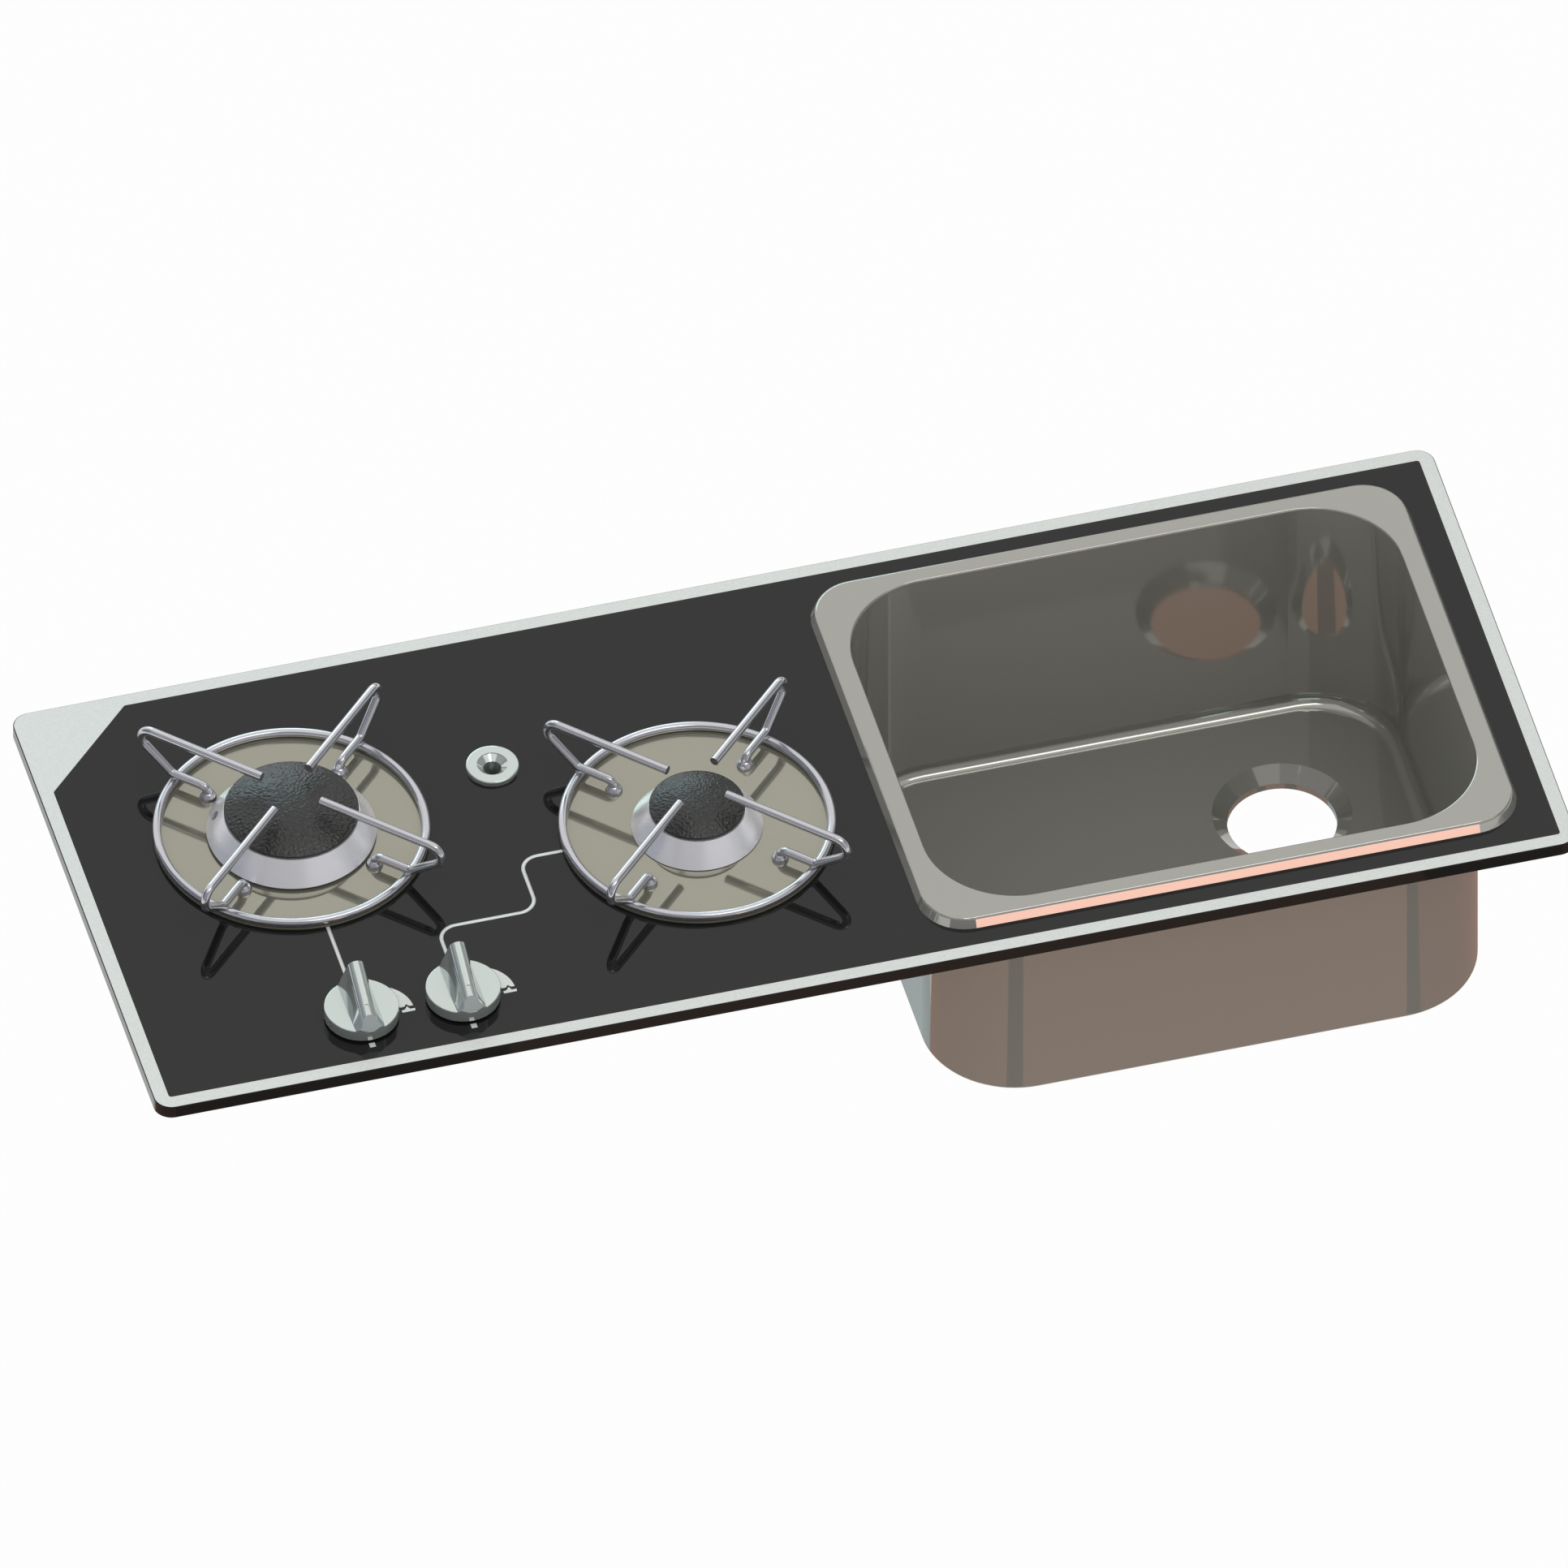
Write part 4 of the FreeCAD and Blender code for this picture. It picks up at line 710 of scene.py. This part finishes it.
world = bpy.data.worlds.new("studio")
bpy.context.scene.world = world
world.use_nodes = True
tree = world.node_tree
tree.nodes.clear()
shed = add(tree, "ShaderNodeBackground", {"Color": paint("#FFFFFF"), "Strength": shed_light})
shown = add(tree, "ShaderNodeBackground", {"Color": paint("#FFFFFF"), "Strength": 1.0})
both = add(tree, "ShaderNodeMixShader", {
    0: looked_at(tree), 1: shed.outputs[0], 2: shown.outputs[0]})
add(tree, "ShaderNodeOutputWorld", {"Surface": both.outputs[0]})

material, tree = start_material("pale_floor")
most = add(tree, "ShaderNodeMath", {0: looked_at(tree), 1: white_share}, operation="MULTIPLY")
matt = add(tree, "ShaderNodeBsdfDiffuse", {"Color": paint("#F4F4F4")})
white = add(tree, "ShaderNodeEmission", {"Color": paint("#FFFFFF"), "Strength": 1.0})
both = add(tree, "ShaderNodeMixShader", {
    0: most.outputs[0], 1: matt.outputs[0], 2: white.outputs[0]})
add(tree, "ShaderNodeOutputMaterial", {"Surface": both.outputs[0]})
floor_corners = lying(-floor_half, floor_half, -floor_half, floor_half, floor_level)
floor = sheet("floor", floor_corners, material)
print("floor at", floor_level)

# %% [markdown]
# ## Cards
# Polished metal is only as rich as what it mirrors. Cards stand for the things round the unit.
# Brown boards with two darker gaps lie on the floor, and a pale blue one behind on the left; they
# show in the outside of the bowl. Grey cards of several tones stand in front, at the sides and
# behind; they darken the bowl's inside and the flanks of the knobs. A bright salmon card low in
# front is for the sloped face of the rim, and a bluish one high behind for the sheen of the caps.
# They glow at the level they should show, and are hidden from the camera and from matt surfaces, so
# they colour nothing else.

# %% Lay out the cards
board_level = floor_level + 0.01


def on_floor(x_low, x_high, y_low, y_high):
    """The corners of a board just above the floor."""
    return lying(x_low, x_high, y_low, y_high, board_level)


def upright(x_low, x_high, y, z_low, z_high):
    """The corners of a card that stands across the front or the back."""
    return [(x_low, y, z_low), (x_high, y, z_low), (x_high, y, z_high), (x_low, y, z_high)]


def sideways(x, y_low, y_high, z_low, z_high):
    """The corners of a card that stands at one side."""
    return [(x, y_low, z_low), (x, y_high, z_low), (x, y_high, z_high), (x, y_low, z_high)]


brown, dark_brown, gap, pale_blue = "#AB8A7B", "#9F7C6E", "#74655F", "#B6C2C6"
salmon, grey, side_grey, dark_grey = "#FFC8BB", "#C2C2C4", "#A0A0A3", "#6E7072"
low_grey, right_grey, blue_grey, horizon_blue = "#7C7C84", "#8E9092", "#6B7484", "#BFE0E8"
cards = {
    "board_far_left": (brown, 1.0, on_floor(-2.0, -0.23, -1.6, 0.5)),
    "board_left_gap": (gap, 1.0, on_floor(-0.23, 0.03, -1.6, -0.3)),
    "board_middle": (brown, 1.0, on_floor(0.03, 0.545, -1.6, -0.3)),
    "board_right_gap": (gap, 1.0, on_floor(0.545, 0.73, -1.6, -0.3)),
    "board_far_right": (dark_brown, 1.0, on_floor(0.73, 2.4, -1.6, 0.4)),
    "board_back_right": (dark_brown, 1.0, on_floor(0.52, 2.4, 0.4, 1.6)),
    "board_back_left": (pale_blue, 1.1, on_floor(-0.48, 0.3, 0.5, 2.0)),
    "salmon_card": (salmon, 3.4, upright(0.535, 0.96, -3.0, -0.04, 0.26)),
    "grey_card": (grey, 1.0, upright(-0.12, 9.0, -2.2, 0.25, 4.0)),
    "grey_card_left": (side_grey, 1.0, upright(-9.0, -0.12, -2.2, 0.25, 4.0)),
    "low_front_card": (low_grey, 1.0, upright(-2.0, 0.40, -2.2, -0.30, 0.25)),
    "dark_back_card": (dark_grey, 1.0, upright(0.7, 4.5, 2.6, 0.02, 0.9)),
    "horizon_card": (horizon_blue, 5.4, upright(-0.9, 0.62, 2.6, 0.85, 1.65)),
    "left_low_card": (blue_grey, 1.0, sideways(-2.5, -0.6, 2.2, 0.03, 1.8)),
    "left_high_card": (side_grey, 1.0, sideways(-2.5, -3.0, 2.2, 1.8, 4.5)),
    "right_card": (right_grey, 1.0, sideways(2.8, -1.5, 1.6, 0.35, 3.6))}
for name, (colour, strength, corners) in cards.items():
    material, tree = start_material(name)
    glow = add(tree, "ShaderNodeEmission", {"Color": paint(colour), "Strength": strength})
    add(tree, "ShaderNodeOutputMaterial", {"Surface": glow.outputs[0]})
    piece = sheet(name, corners, material)
    piece.visible_camera = piece.visible_diffuse = piece.visible_shadow = False
print("cards", len(cards))

# %% [markdown]
# ## The lamp
# One wide lamp above draws the bright line along the bowl's lower corner. A lamp's power is spread
# over its face, so the brightness that it should have is multiplied by its area, and by pi, as a
# flat face sheds light all round its front.

# %% Hang the lamp
lamp_place, lamp_aim = Vector((0.35, -0.7, 1.9)), Vector((0.1, 0, 0))
lamp_width, lamp_depth, brightness = 1.1, 0.4, 3.0
light = bpy.data.lights.new("wide_front", "AREA")
light.shape, light.size, light.size_y = "RECTANGLE", lamp_width, lamp_depth
light.energy = brightness * math.pi * lamp_width * lamp_depth
lamp = placed("wide_front", light)
lamp.location = lamp_place
lamp.rotation_euler = (lamp_aim - lamp_place).to_track_quat("-Z", "Y").to_euler()
print("lamp", lamp.name, "watts", round(light.energy, 2))

# %% [markdown]
# ## Finish
# The view transform stays plain, so colours come out as written. The dressing may not make the
# part larger.

# %% Set the view
bpy.context.scene.view_settings.view_transform = "Standard"
